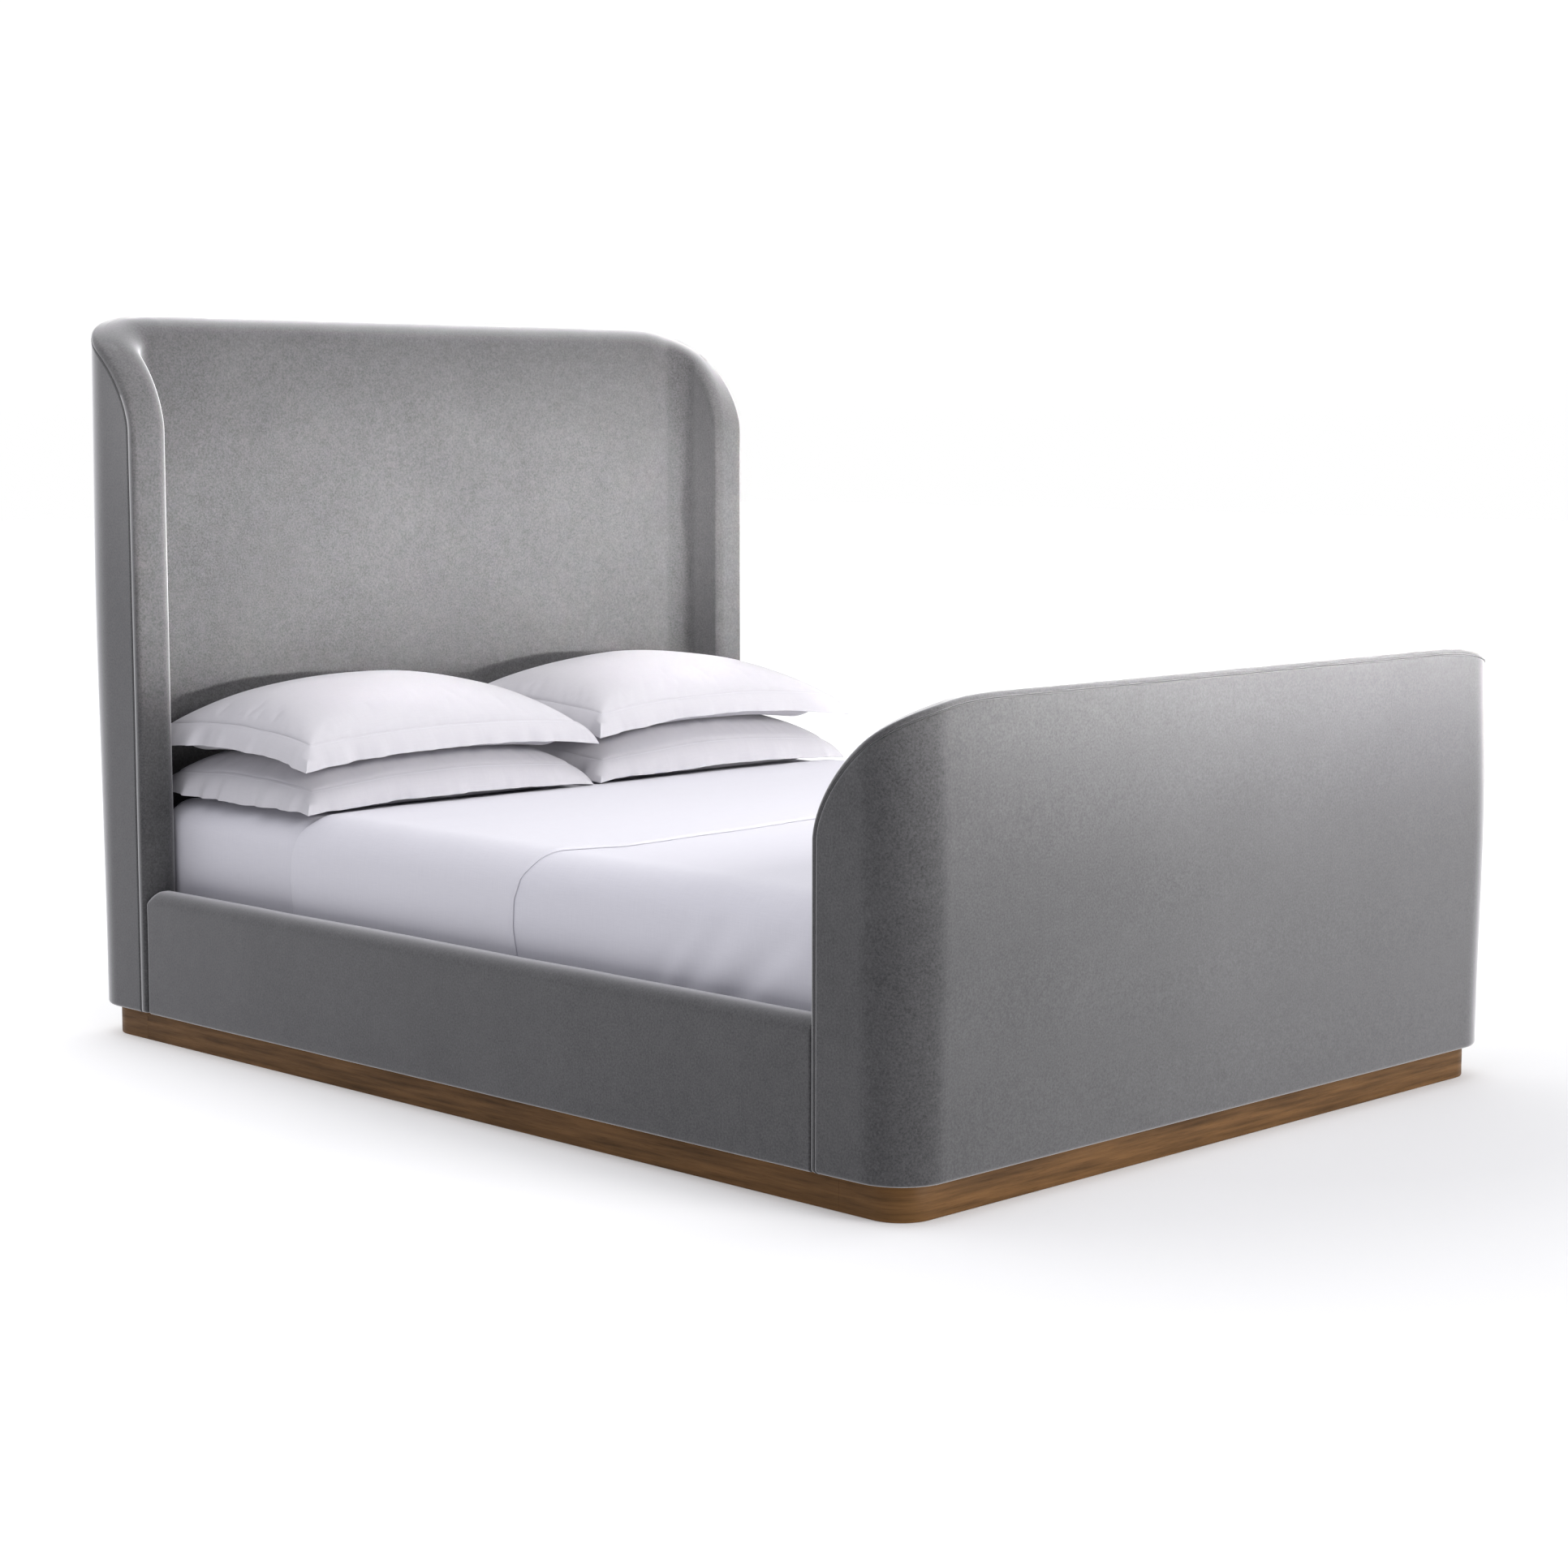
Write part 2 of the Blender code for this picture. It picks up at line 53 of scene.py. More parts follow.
def smoothStep(low, high, value):
    t = min(max((value - low) / (high - low), 0.0), 1.0)
    return t * t * (3 - 2 * t)


def mix(a, b, t):
    return a + (b - a) * t


def soft(x, y, z=0.0, seed=0.0):
    return noise.noise(Vector((x + seed, y - 0.7 * seed, z + 1.3 * seed)))


def showObject(name, data):
    obj = bpy.data.objects.new(name, data)
    bpy.context.scene.collection.objects.link(obj)
    return obj


def newObject(name, verts, faces, material, uvs, sharpAngle, fixNormals=True):
    mesh = bpy.data.meshes.new(name)
    mesh.from_pydata([tuple(v) for v in verts], [], faces)
    layer = mesh.uv_layers.new(name="UVMap")
    for loop in mesh.loops:
        layer.data[loop.index].uv = uvs[loop.vertex_index]
    bm = bmesh.new()
    bm.from_mesh(mesh)
    if fixNormals:
        bmesh.ops.recalc_face_normals(bm, faces=bm.faces)
    limit = math.radians(sharpAngle)
    for face in bm.faces:
        face.smooth = True
    for edge in bm.edges:
        if len(edge.link_faces) == 2 and edge.calc_face_angle(0.0) > limit:
            edge.smooth = False
    bm.to_mesh(mesh)
    bm.free()
    mesh.materials.append(material)
    return showObject(name, mesh)


def bake(obj):
    # keeps the result of the object's modifiers as its plain mesh
    graph = bpy.context.evaluated_depsgraph_get()
    graph.update()
    mesh = bpy.data.meshes.new_from_object(obj.evaluated_get(graph), depsgraph=graph)
    obj.modifiers.clear()
    obj.data = mesh


def gridFaces(start, columns, rows):
    faces = []
    for i in range(columns - 1):
        for j in range(rows - 1):
            a = start + i * rows + j
            faces.append((a, a + rows, a + rows + 1, a + 1))
    return faces


def sleeveFaces(places, count):
    # a closed section carried from place to place, with both ends capped
    faces = []
    for i in range(places - 1):
        for k in range(count):
            a, b = i * count + k, i * count + (k + 1) % count
            faces.append((a, b, b + count, a + count))
    last = (places - 1) * count
    return faces + [tuple(range(count)), tuple(range(last, last + count))]


def addNode(tree, kind, feeds=None, **options):
    # options come first, because some of them decide which sockets the node has
    node = tree.nodes.new(kind)
    for option, value in options.items():
        setattr(node, option, value)
    for socket, value in (feeds or {}).items():
        if isinstance(value, bpy.types.NodeSocket):
            tree.links.new(value, node.inputs[socket])
        else:
            node.inputs[socket].default_value = value
    return node


# shader groups

def shaderGroup(name, inputs, outputs):
    tree = bpy.data.node_groups.new(name, "ShaderNodeTree")
    kinds = {"f": "NodeSocketFloat", "c": "NodeSocketColor", "v": "NodeSocketVector"}
    for way, sockets in (("INPUT", inputs), ("OUTPUT", outputs)):
        for label, kind in sockets:
            tree.interface.new_socket(name=label, in_out=way, socket_type=kinds[kind])
    return tree, addNode(tree, "NodeGroupInput").outputs, addNode(tree, "NodeGroupOutput").inputs


def mathNode(tree, operation, a, b=0.0):
    return addNode(tree, "ShaderNodeMath", {0: a, 1: b}, operation=operation).outputs[0]


def weighted(tree, *parts):
    # the sum of each value times its weight
    total = None
    for value, weight in parts:
        part = value if weight == 1 else mathNode(tree, "MULTIPLY", value, weight)
        total = part if total is None else mathNode(tree, "ADD", total, part)
    return total


def scaled(tree, vector, factors):
    return addNode(tree, "ShaderNodeVectorMath", {0: vector, 1: factors}, operation="MULTIPLY").outputs[0]


def noiseNode(tree, vector, scale, detail=2.0, roughness=0.5):
    feeds = {"Vector": vector, "Scale": scale, "Detail": detail, "Roughness": roughness}
    return addNode(tree, "ShaderNodeTexNoise", feeds).outputs["Fac"]


def mixColour(tree, factor, a, b):
    return addNode(tree, "ShaderNodeMix", {"Factor": factor, 6: a, 7: b}, data_type="RGBA").outputs[2]


def spread(tree, value, low, high):
    feeds = {"Value": value, "From Min": low, "From Max": high}
    return addNode(tree, "ShaderNodeMapRange", feeds).outputs["Result"]


def makeNapGroup():
    # short brushed pile: fine speckle, finger-width clouds and a slow change across the cloth
    tree, given, result = shaderGroup("napMottle", [("Vector", "v"), ("Pile Colour", "c"), ("Root Colour", "c"),
                                                    ("Speckle Scale", "f"), ("Cloud Scale", "f")],
                                      [("Colour", "c"), ("Height", "f"), ("Roughness", "f")])
    where, fine, wide = given["Vector"], given["Speckle Scale"], given["Cloud Scale"]
    speckle = noiseNode(tree, where, fine, 3.0, 0.6)
    finer = noiseNode(tree, where, mathNode(tree, "MULTIPLY", fine, 3.1), 1.0)
    cloud = noiseNode(tree, where, wide, 3.0, 0.55)
    slow = noiseNode(tree, where, mathNode(tree, "MULTIPLY", wide, 0.13))
    grain = weighted(tree, (speckle, 0.55), (finer, 0.25))
    tone = spread(tree, weighted(tree, (grain, 1), (cloud, 0.14), (slow, 0.10)), 0.32, 0.72)
    tree.links.new(mixColour(tree, tone, given["Root Colour"], given["Pile Colour"]), result["Colour"])
    tree.links.new(grain, result["Height"])
    tree.links.new(mathNode(tree, "ADD", mathNode(tree, "MULTIPLY", cloud, 0.12), 0.80), result["Roughness"])
    return tree


def makeWeaveGroup():
    # plain weave: warp and weft ridges with uneven threads
    tree, given, result = shaderGroup("plainWeave", [("Vector", "v"), ("Thread Colour", "c"), ("Gap Colour", "c"),
                                                     ("Threads Per Metre", "f"), ("Slub", "f")],
                                      [("Colour", "c"), ("Height", "f"), ("Roughness", "f")])
    where = given["Vector"]
    split = addNode(tree, "ShaderNodeSeparateXYZ", {0: where}).outputs
    turns = mathNode(tree, "MULTIPLY", given["Threads Per Metre"], 2 * math.pi)
    wobble = mathNode(tree, "SUBTRACT", noiseNode(tree, where, 90.0), 0.5)
    wobble = mathNode(tree, "MULTIPLY", wobble, given["Slub"])
    warp, weft = [mathNode(tree, "SINE", mathNode(tree, "ADD", mathNode(tree, "MULTIPLY", split[k], turns), wobble))
                  for k in (0, 1)]
    ridge = weighted(tree, (mathNode(tree, "ADD", warp, weft), 0.16), (mathNode(tree, "MULTIPLY", warp, weft), 0.18))
    streakLong = noiseNode(tree, scaled(tree, where, (700.0, 26.0, 26.0)), 1.0)
    streakWide = noiseNode(tree, scaled(tree, where, (26.0, 700.0, 26.0)), 1.0)
    streak = weighted(tree, (streakLong, 0.5), (streakWide, 0.5))
    tone = spread(tree, weighted(tree, (ridge, 0.5), (streak, 1)), 0.25, 0.75)
    tree.links.new(mixColour(tree, tone, given["Gap Colour"], given["Thread Colour"]), result["Colour"])
    tree.links.new(weighted(tree, (ridge, 1), (streak, 0.6)), result["Height"])
    tree.links.new(mathNode(tree, "ADD", mathNode(tree, "MULTIPLY", streak, 0.15), 0.72), result["Roughness"])
    return tree


def makeGrainGroup():
    # timber: long figure bands, fine pores and a little drift in tone from end to end
    tree, given, result = shaderGroup("timberGrain", [("Vector", "v"), ("Early Wood", "c"), ("Late Wood", "c"),
                                                      ("Bands Per Metre", "f"), ("Pores Per Metre", "f")],
                                      [("Colour", "c"), ("Height", "f"), ("Roughness", "f")])
    where = given["Vector"]
    figure = noiseNode(tree, scaled(tree, where, (0.055, 1.0, 1.0)), given["Bands Per Metre"], 5.0, 0.62)
    figure = weighted(tree, (figure, 1), (noiseNode(tree, scaled(tree, where, (1.4, 9.0, 9.0)), 1.0), 0.22))
    pores = noiseNode(tree, scaled(tree, where, (0.03, 1.0, 1.0)), given["Pores Per Metre"], 2.0, 0.7)
    pores = spread(tree, pores, 0.56, 0.70)
    tone = spread(tree, figure, 0.42, 0.78)
    body = mixColour(tree, tone, given["Early Wood"], given["Late Wood"])
    dark = mixColour(tree, mathNode(tree, "MULTIPLY", pores, 0.55), body, given["Late Wood"])
    tree.links.new(dark, result["Colour"])
    tree.links.new(weighted(tree, (figure, 0.3), (pores, -0.5)), result["Height"])
    tree.links.new(weighted(tree, (tone, 0.12), (pores, 0.2)), result["Roughness"])
    return tree


def makeScuffGroup():
    # plated or moulded parts: faint cloudy tone and hairline scratches
    tree, given, result = shaderGroup("handledFinish", [("Vector", "v"), ("Clean Colour", "c"), ("Worn Colour", "c")],
                                      [("Colour", "c"), ("Height", "f"), ("Mask", "f")])
    cloud = noiseNode(tree, given["Vector"], 35.0, 4.0, 0.6)
    scratch = noiseNode(tree, scaled(tree, given["Vector"], (900.0, 60.0, 900.0)), 1.0, 1.0)
    mask = spread(tree, weighted(tree, (cloud, 0.6), (scratch, 0.4)), 0.40, 0.66)
    tree.links.new(mixColour(tree, mask, given["Clean Colour"], given["Worn Colour"]), result["Colour"])
    tree.links.new(scratch, result["Height"])
    tree.links.new(mask, result["Mask"])
    return tree


def startMaterial(name, group, coordinates, values, bumpStrength, bumpDistance, fixed):
    mat = bpy.data.materials.new(name)
    mat.use_nodes = True
    tree = mat.node_tree
    shader = tree.nodes["Principled BSDF"]
    place = addNode(tree, "ShaderNodeTexCoord")
    effect = addNode(tree, "ShaderNodeGroup", node_tree=group)
    tree.links.new(place.outputs[coordinates], effect.inputs["Vector"])
    for label, value in values.items():
        effect.inputs[label].default_value = value
    tree.links.new(effect.outputs["Colour"], shader.inputs["Base Color"])
    bump = addNode(tree, "ShaderNodeBump", {"Height": effect.outputs["Height"], "Strength": bumpStrength,
                                            "Distance": bumpDistance})
    tree.links.new(bump.outputs["Normal"], shader.inputs["Normal"])
    for label, value in fixed.items():
        shader.inputs[label].default_value = value
    return mat, tree, shader, effect.outputs


napGroup = makeNapGroup()
weaveGroup = makeWeaveGroup()
grainGroup = makeGrainGroup()
scuffGroup = makeScuffGroup()


def makeUpholstery(name, settings):
    mat, tree, shader, effect = startMaterial(name, napGroup, "Object", {
        "Pile Colour": settings["pile"], "Root Colour": settings["root"],
        "Speckle Scale": settings["speckle"], "Cloud Scale": settings["cloud"]}, settings["bump"], 0.0008, {
        "Sheen Weight": settings["sheen"], "Sheen Roughness": settings["sheenRoughness"],
        "Sheen Tint": (1.0, 0.99, 1.0, 1), "Specular IOR Level": 0.10})
    across = addNode(tree, "ShaderNodeLayerWeight", {"Blend": 0.5})  # painted sheen: the base colour is mixed towards the light tip colour where the cloth is seen at a grazing angle
    paintedSheenMask = mathNode(tree, "POWER", across.outputs["Facing"], settings["paintedSheenPower"])
    tree.links.new(mixColour(tree, paintedSheenMask, effect["Colour"], settings["tip"]), shader.inputs["Base Color"])
    tree.links.new(effect["Roughness"], shader.inputs["Roughness"])
    return mat


def makeCotton(name, settings):
    mat, tree, shader, effect = startMaterial(name, weaveGroup, "UV", {
        "Thread Colour": settings["thread"], "Gap Colour": settings["gap"],
        "Threads Per Metre": settings["threads"], "Slub": settings["slub"]}, settings["bump"], 0.0003, {
        "Sheen Weight": 0.15, "Sheen Roughness": 0.5, "Specular IOR Level": 0.2})
    tree.links.new(effect["Roughness"], shader.inputs["Roughness"])
    return mat


def makeTimber(name, coordinates, settings):
    mat, tree, shader, effect = startMaterial(name, grainGroup, coordinates, {
        "Early Wood": settings["early"], "Late Wood": settings["late"],
        "Bands Per Metre": settings["bands"], "Pores Per Metre": settings["pores"]}, 0.25, 0.0006, {
        "Specular IOR Level": settings["shine"]})
    tree.links.new(mathNode(tree, "ADD", effect["Roughness"], settings["roughness"]), shader.inputs["Roughness"])
    return mat


def makeHard(name, settings):
    mat, tree, shader, effect = startMaterial(name, scuffGroup, "Object", {
        "Clean Colour": settings["clean"], "Worn Colour": settings["worn"]}, 0.08, 0.0003, {
        "Metallic": settings["metal"]})
    rough = mathNode(tree, "ADD", mathNode(tree, "MULTIPLY", effect["Mask"], 0.2), settings["roughness"])
    tree.links.new(rough, shader.inputs["Roughness"])
    return mat


# the tip colour is painted sheen, laid on where the cloth is seen edge-on; pile and root are the cloth's own colours
upholstery = makeUpholstery("greyNap", {
    "pile": (0.116, 0.115, 0.117, 1), "root": (0.036, 0.0355, 0.037, 1), "speckle": 260.0, "cloud": 42.0,
    "tip": (0.60, 0.60, 0.61, 1), "paintedSheenPower": 2.6,
    "sheen": 1.0, "sheenRoughness": 0.30, "bump": 0.30})
# the piping's tip colour is a fainter painted sheen of the same kind
pipingCloth = makeUpholstery("greyPiping", {
    "pile": (0.095, 0.095, 0.097, 1), "root": (0.05, 0.05, 0.051, 1), "speckle": 700.0, "cloud": 60.0,
    "tip": (0.20, 0.20, 0.205, 1), "paintedSheenPower": 2.1,
    "sheen": 0.3, "sheenRoughness": 0.35, "bump": 0.25})
sheetCotton = makeCotton("whitePercale", {
    "thread": (0.715, 0.707, 0.757, 1), "gap": (0.655, 0.647, 0.697, 1), "threads": 1500.0, "slub": 2.5, "bump": 0.10})
# pillow cotton is a little warmer than the sheets, and darker: the darkening is painted shade that holds the pillow
# tops down under the lamps
pillowCotton = makeCotton("whitePillowCotton", {
    "thread": (0.605, 0.594, 0.622, 1), "gap": (0.553, 0.542, 0.570, 1), "threads": 1500.0, "slub": 2.5, "bump": 0.10})
coverletCotton = makeCotton("whiteCoverlet", {
    "thread": (0.710, 0.703, 0.757, 1), "gap": (0.645, 0.638, 0.692, 1), "threads": 1200.0, "slub": 2.5, "bump": 0.14})
hemThread = makeCotton("hemThread", {
    "thread": (0.80, 0.80, 0.83, 1), "gap": (0.66, 0.66, 0.70, 1), "threads": 2500.0, "slub": 1.0, "bump": 0.1})
ticking = makeCotton("mattressTicking", {
    "thread": (0.80, 0.80, 0.78, 1), "gap": (0.62, 0.62, 0.61, 1), "threads": 600.0, "slub": 4.0, "bump": 0.3})
walnut = makeTimber("walnutPlinth", "UV", {
    "early": (0.196, 0.096, 0.030, 1), "late": (0.074, 0.035, 0.009, 1), "bands": 75.0, "pores": 900.0,
    "roughness": 0.45, "shine": 0.2})
slatWood = makeTimber("slatPine", "Object", {
    "early": (0.66, 0.47, 0.27, 1), "late": (0.45, 0.27, 0.12, 1), "bands": 60.0, "pores": 600.0,
    "roughness": 0.5, "shine": 0.4})
poplar = {"early": (0.52, 0.39, 0.24, 1), "late": (0.38, 0.25, 0.13, 1), "bands": 45.0, "pores": 500.0,
          "roughness": 0.6, "shine": 0.4}
frameWood = makeTimber("framePoplar", "Object", poplar)
barWood = makeTimber("barPoplar", "UV", poplar)
zincSteel = makeHard("zincPlate", {
    "clean": (0.60, 0.60, 0.62, 1), "worn": (0.44, 0.44, 0.45, 1), "roughness": 0.28, "metal": 1.0})
blackPlastic = makeHard("glidePlastic", {
    "clean": (0.03, 0.03, 0.03, 1), "worn": (0.06, 0.06, 0.058, 1), "roughness": 0.45, "metal": 0.0})
print("materials made")


# headboard and footboard

boardShape = {"width": 1.700, "corner": 0.095, "wingFront": 0.949, "run": 0.310, "drop": 0.238, "power": 1.70,
              "wall": 0.080, "innerCorner": 0.050, "coverDepth": 0.0095, "plateDepth": 0.048, "bottomRound": 0.007,
              "uneven": 0.0010, "unevenScale": 2.6, "easeAhead": 0.025, "easeUp": 0.070, "easeOn": 0.050}
headboard = {"name": "headboard", "way": 1, "top": 1.485, "ease": 0.0026, "plane": 1.1555, "face": 1.075,
             "bow": 0.0225, "bowAt": 0.92, "bowBelow": 0.53, "bowAbove": 0.42, "seamLow": 0.0188, "seamHigh": 0.0088,
             "roundLow": (0.017, 0.024), "roundHigh": (0.046, 0.067), "backRound": 0.009}
footboard = {"name": "footboard", "way": -1, "top": 0.842, "ease": 0.0042, "plane": 1.1535, "face": 1.0755,
             "bow": 0.0080, "bowAt": 0.50, "bowBelow": 0.30, "bowAbove": 0.24, "seamLow": 0.0085, "seamHigh": 0.0085,
             "roundLow": (0.012, 0.018), "roundHigh": (0.044, 0.070), "backRound": 0.0075}
boardMesh = {"turns": 40, "across": 22, "rows": 36}


def boardHalf(board):
    return (board["plane"] - boardShape["corner"] - boardShape["wingFront"] + boardShape["corner"] * math.pi / 2
            + boardShape["width"] / 2 - boardShape["corner"])


def bottomPush(z):
    # rounds the lower edge in towards the wall's middle
    radius = boardShape["bottomRound"]
    over = standAt + radius - z
    return radius - math.sqrt(max(radius * radius - over * over, 0.0)) if over > 0 else 0.0


def wallPoint(board, s, z, depth):
    # s runs round the outside from one wing's free end to the other; depth is metres in from the outside
    half = boardHalf(board)
    side = -1.0 if s <= half else 1.0
    run = s if s <= half else 2 * half - s
    corner = boardShape["corner"]
    inner = boardShape["innerCorner"]
    straight = board["plane"] - corner - boardShape["wingFront"]
    wide = boardShape["width"] / 2
    faceX = wide - boardShape["wall"]
    bowReach = board["bowBelow"] if z < board["bowAt"] else board["bowAbove"]
    bow = board["bow"] * math.exp(-((z - board["bowAt"]) / bowReach) ** 2)
    bend = straight + corner * math.pi / 2
    arm = board["face"] - inner - boardShape["wingFront"]
    if run <= straight:
        out = Vector((wide, boardShape["wingFront"] + run))
    elif run <= bend:
        turn = (run - straight) / corner
        out = Vector((wide - corner + corner * math.cos(turn),
                      board["plane"] - corner + (corner + bow) * math.sin(turn)))
    else:
        part = (run - bend) / (wide - corner)
        out = Vector(((wide - corner) * (1 - part), board["plane"] + bow))
    if run <= bend:
        # the inside is shorter than the outside, so it is stepped evenly round the bend
        within = run / bend * (arm + inner * math.pi / 2)
        turn = max(within - arm, 0.0) / inner
        into = Vector((faceX - inner + inner * math.cos(turn),
                       boardShape["wingFront"] + min(within, arm) + inner * math.sin(turn)))
    else:
        into = Vector(((faceX - inner) * (1 - part), board["face"]))
    share = depth / boardShape["wall"]
    share += bottomPush(z) / boardShape["wall"] * (1 - 2 * share)
    # padding is never dead flat
    ripple = soft(boardShape["unevenScale"] * s, boardShape["unevenScale"] * z, 0.0, 3.0 + board["way"])
    share += (boardShape["uneven"] * ripple * (1 - 2 * share)) / boardShape["wall"]
    flat = out.lerp(into, share)
    return Vector((side * flat.x, board["way"] * flat.y + middleY, z))


def edgeWalk(board):
    # (s, z, inward s, inward z, lift) up one wing's free end, over the shoulders and down the other end
    half = boardHalf(board)
    run, drop, power = boardShape["run"], boardShape["drop"], boardShape["power"]
    wall = board["top"] - drop

    def ease(s):
        # the shoulder meets the level top a little lower, so that the edge bends without a kink
        away = s - run + boardShape["easeAhead"]
        return board["ease"] * math.exp(-(away / (boardShape["easeUp"] if away < 0 else boardShape["easeOn"])) ** 2)

    rows = [standAt, standAt + 0.0012, standAt + 0.003, standAt + 0.005, standAt + 0.0075]
    rows += [mix(standAt + 0.012, wall, j / boardMesh["rows"]) for j in range(boardMesh["rows"] + 1)]
    shares = [(z - standAt) / (wall - standAt) for z in rows]
    side = [(0.0, z, 1.0, 0.0, 0.0) for z in rows]
    over = []
    for step in range(1, boardMesh["turns"] + 1):
        angle = 0.5 * math.pi * step / boardMesh["turns"]
        across = max(math.cos(angle), 0.0) ** (2 / power)
        up = math.sin(angle) ** (2 / power)
        lean = Vector((across ** (power - 1) / run, up ** (power - 1) / drop)).normalized()
        s = run * (1 - across)
        lift = smoothStep(0.0, 0.85, step / boardMesh["turns"])
        over.append((s, board["top"] - drop * (1 - up) - ease(s), lean.x, -lean.y, lift))
    for step in range(1, boardMesh["across"] + 1):
        s = mix(run, half, (step / boardMesh["across"]) ** 1.6)
        over.append((s, board["top"] - ease(s), 0.0, -1.0, 1.0))
    mirrored = [(2 * half - s, z, -ns, nz, lift) for s, z, ns, nz, lift in reversed(over[:-1])]
    return side, over + mirrored, [(2 * half - s, z, -ns, nz, lift) for s, z, ns, nz, lift in reversed(side)], shares


def boardSolid(board, label, rings, material):
    # rings lists functions of lift giving (inset from the shaped edge, depth), inside face first
    left, over, right, shares = edgeWalk(board)
    verts, uvs, faces, chains = [], [], [], []
    rows = len(shares)

    def put(s, z, depth):
        verts.append(wallPoint(board, s, z, depth))
        uvs.append((s, z))
        return len(verts) - 1

    def place(point, inset, depth):
        s, z, ns, nz, lift = point
        lower = bottomPush(z) if nz == 0.0 else 0.0
        return put(s + (inset + lower) * ns, z + inset * nz, depth)

    grids = []
    for ring in (rings[0], rings[-1]):
        start = len(verts)
        columns = [left[-1]] + over + [right[0]]
        for s, z, ns, nz, lift in columns:
            inset, depth = ring(lift)
            top = z + inset * nz
            for share in shares:
                low = mix(standAt, top, share)
                lower = bottomPush(low) if nz == 0.0 else 0.0
                put(s + (inset + lower) * ns, low, depth)
        grids.append((start, len(columns)))
        faces += gridFaces(start, len(columns), rows)
    count = grids[0][1]

    def border(start):
        return ([start + j for j in range(rows)] + [start + i * rows + rows - 1 for i in range(1, count - 1)]
                + [start + (count - 1) * rows + j for j in reversed(range(rows))])

    chains.append(border(grids[0][0]))
    for ring in rings[1:-1]:
        chains.append([place(point, *ring(point[4])) for point in left + over + right])
    chains.append(border(grids[1][0]))
    for first, second in zip(chains, chains[1:]):
        for i in range(len(first) - 1):
            faces.append((first[i], first[i + 1], second[i + 1], second[i]))
    for i in range(count - 1):
        a = grids[0][0] + i * rows
        b = grids[1][0] + i * rows
        faces.append((a, b, b + rows, a + rows))
    faces.append(tuple(chain[0] for chain in chains))
    faces.append(tuple(chain[-1] for chain in chains))
    return newObject(label, verts, faces, material, uvs, 50.0)


def tubeAlong(label, path, guide, radius, material, sides=8):
    # piping: a round tube on path, turned so that its first side faces guide
    verts, uvs = [], []
    run = 0.0
    for i, here in enumerate(path):
        ahead = (path[min(i + 1, len(path) - 1)] - path[max(i - 1, 0)]).normalized()
        inward = guide[i] - here
        inward = (inward - ahead * inward.dot(ahead)).normalized()
        across = ahead.cross(inward)
        if i:
            run += (here - path[i - 1]).length
        for k in range(sides):
            angle = 2 * math.pi * k / sides
            verts.append(here + radius * (inward * math.cos(angle) + across * math.sin(angle)))
            uvs.append((run, radius * angle))
    return newObject(label, verts, sleeveFaces(len(path), sides), material, uvs, 60.0)


def buildBoard(board):
    wall = boardShape["wall"]

    def seam(lift):
        return mix(board["seamLow"], board["seamHigh"], lift)

    def faceRound(lift, angle):
        # an elliptical roll, wider and deeper towards the top
        across = mix(board["roundLow"][0], board["roundHigh"][0], lift)
        deep = mix(board["roundLow"][1], board["roundHigh"][1], lift)
        return across * (1 - math.sin(angle)), wall - deep * (1 - math.cos(angle))

    rings = []
    for k in range(11):
        angle = 0.5 * math.pi * k / 10
        rings.append(lambda lift, a=angle: faceRound(lift, a))
    rings.append(lambda lift: (-0.0004, mix(0.5 * wall, 0.019, lift)))
    for k in range(8):
        angle = 0.5 * math.pi * k / 7
        radius = board["backRound"]
        rings.append(lambda lift, a=angle, r=radius: (r * (1 - math.cos(a)), r * (1 - math.sin(a))))
    rings.append(lambda lift: (seam(lift) - 0.0002, 0.0001))
    rings.append(lambda lift: (seam(lift) + 0.0007, 0.0010))
    rings.append(lambda lift: (seam(lift) + 0.0009, 0.0030))
    rings.append(lambda lift: (seam(lift) + 0.0009, boardShape["plateDepth"]))
    face = boardSolid(board, board["name"] + "_padded_face", rings, upholstery)
    back = boardSolid(board, board["name"] + "_outside", [
        lambda lift: (seam(lift) + 0.0030, boardShape["coverDepth"]),
        lambda lift: (seam(lift) + 0.0030, 0.0028),
        lambda lift: (seam(lift) + 0.0036, 0.0010),
        lambda lift: (seam(lift) + 0.0052, 0.0001),
        lambda lift: (seam(lift) + 0.0075, 0.0)], upholstery)
    left, over, right, _ = edgeWalk(board)
    path, guide = [], []
    for s, z, ns, nz, lift in left + over + right:
        inset = seam(lift) + 0.0020
        lower = bottomPush(z) if nz == 0.0 else 0.0
        path.append(wallPoint(board, s + (inset + lower) * ns, z + inset * nz, 0.0006))
        guide.append(wallPoint(board, s + (inset + lower) * ns, z + inset * nz, 0.0200))
    welt = tubeAlong(board["name"] + "_piping", path, guide, 0.0011, pipingCloth)
    for piece, node in ((face, "_face_cover"), (back, "_outer_cover"), (welt, "_welt")):
        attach(piece, "bed_frame")
        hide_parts(board["name"] + node)


buildBoard(headboard)
buildBoard(footboard)
print("boards made")


# side rails

rail = {"outside": 0.850, "thick": 0.065, "top": 0.3165, "round": 0.029, "slot": 0.0193, "slotTop": 0.2855,
        "footY": -0.9487, "headY": 0.9440, "endRound": 0.005, "headTopRound": 0.026, "bottomRound": 0.006,
        "footRound": 0.0025, "footTopRound": 0.0030, "rows": 70,
        "endSteps": (0.0, 0.0003, 0.0008, 0.0016, 0.0027, 0.004, 0.005, 0.008, 0.012, 0.017, 0.022, 0.026)}


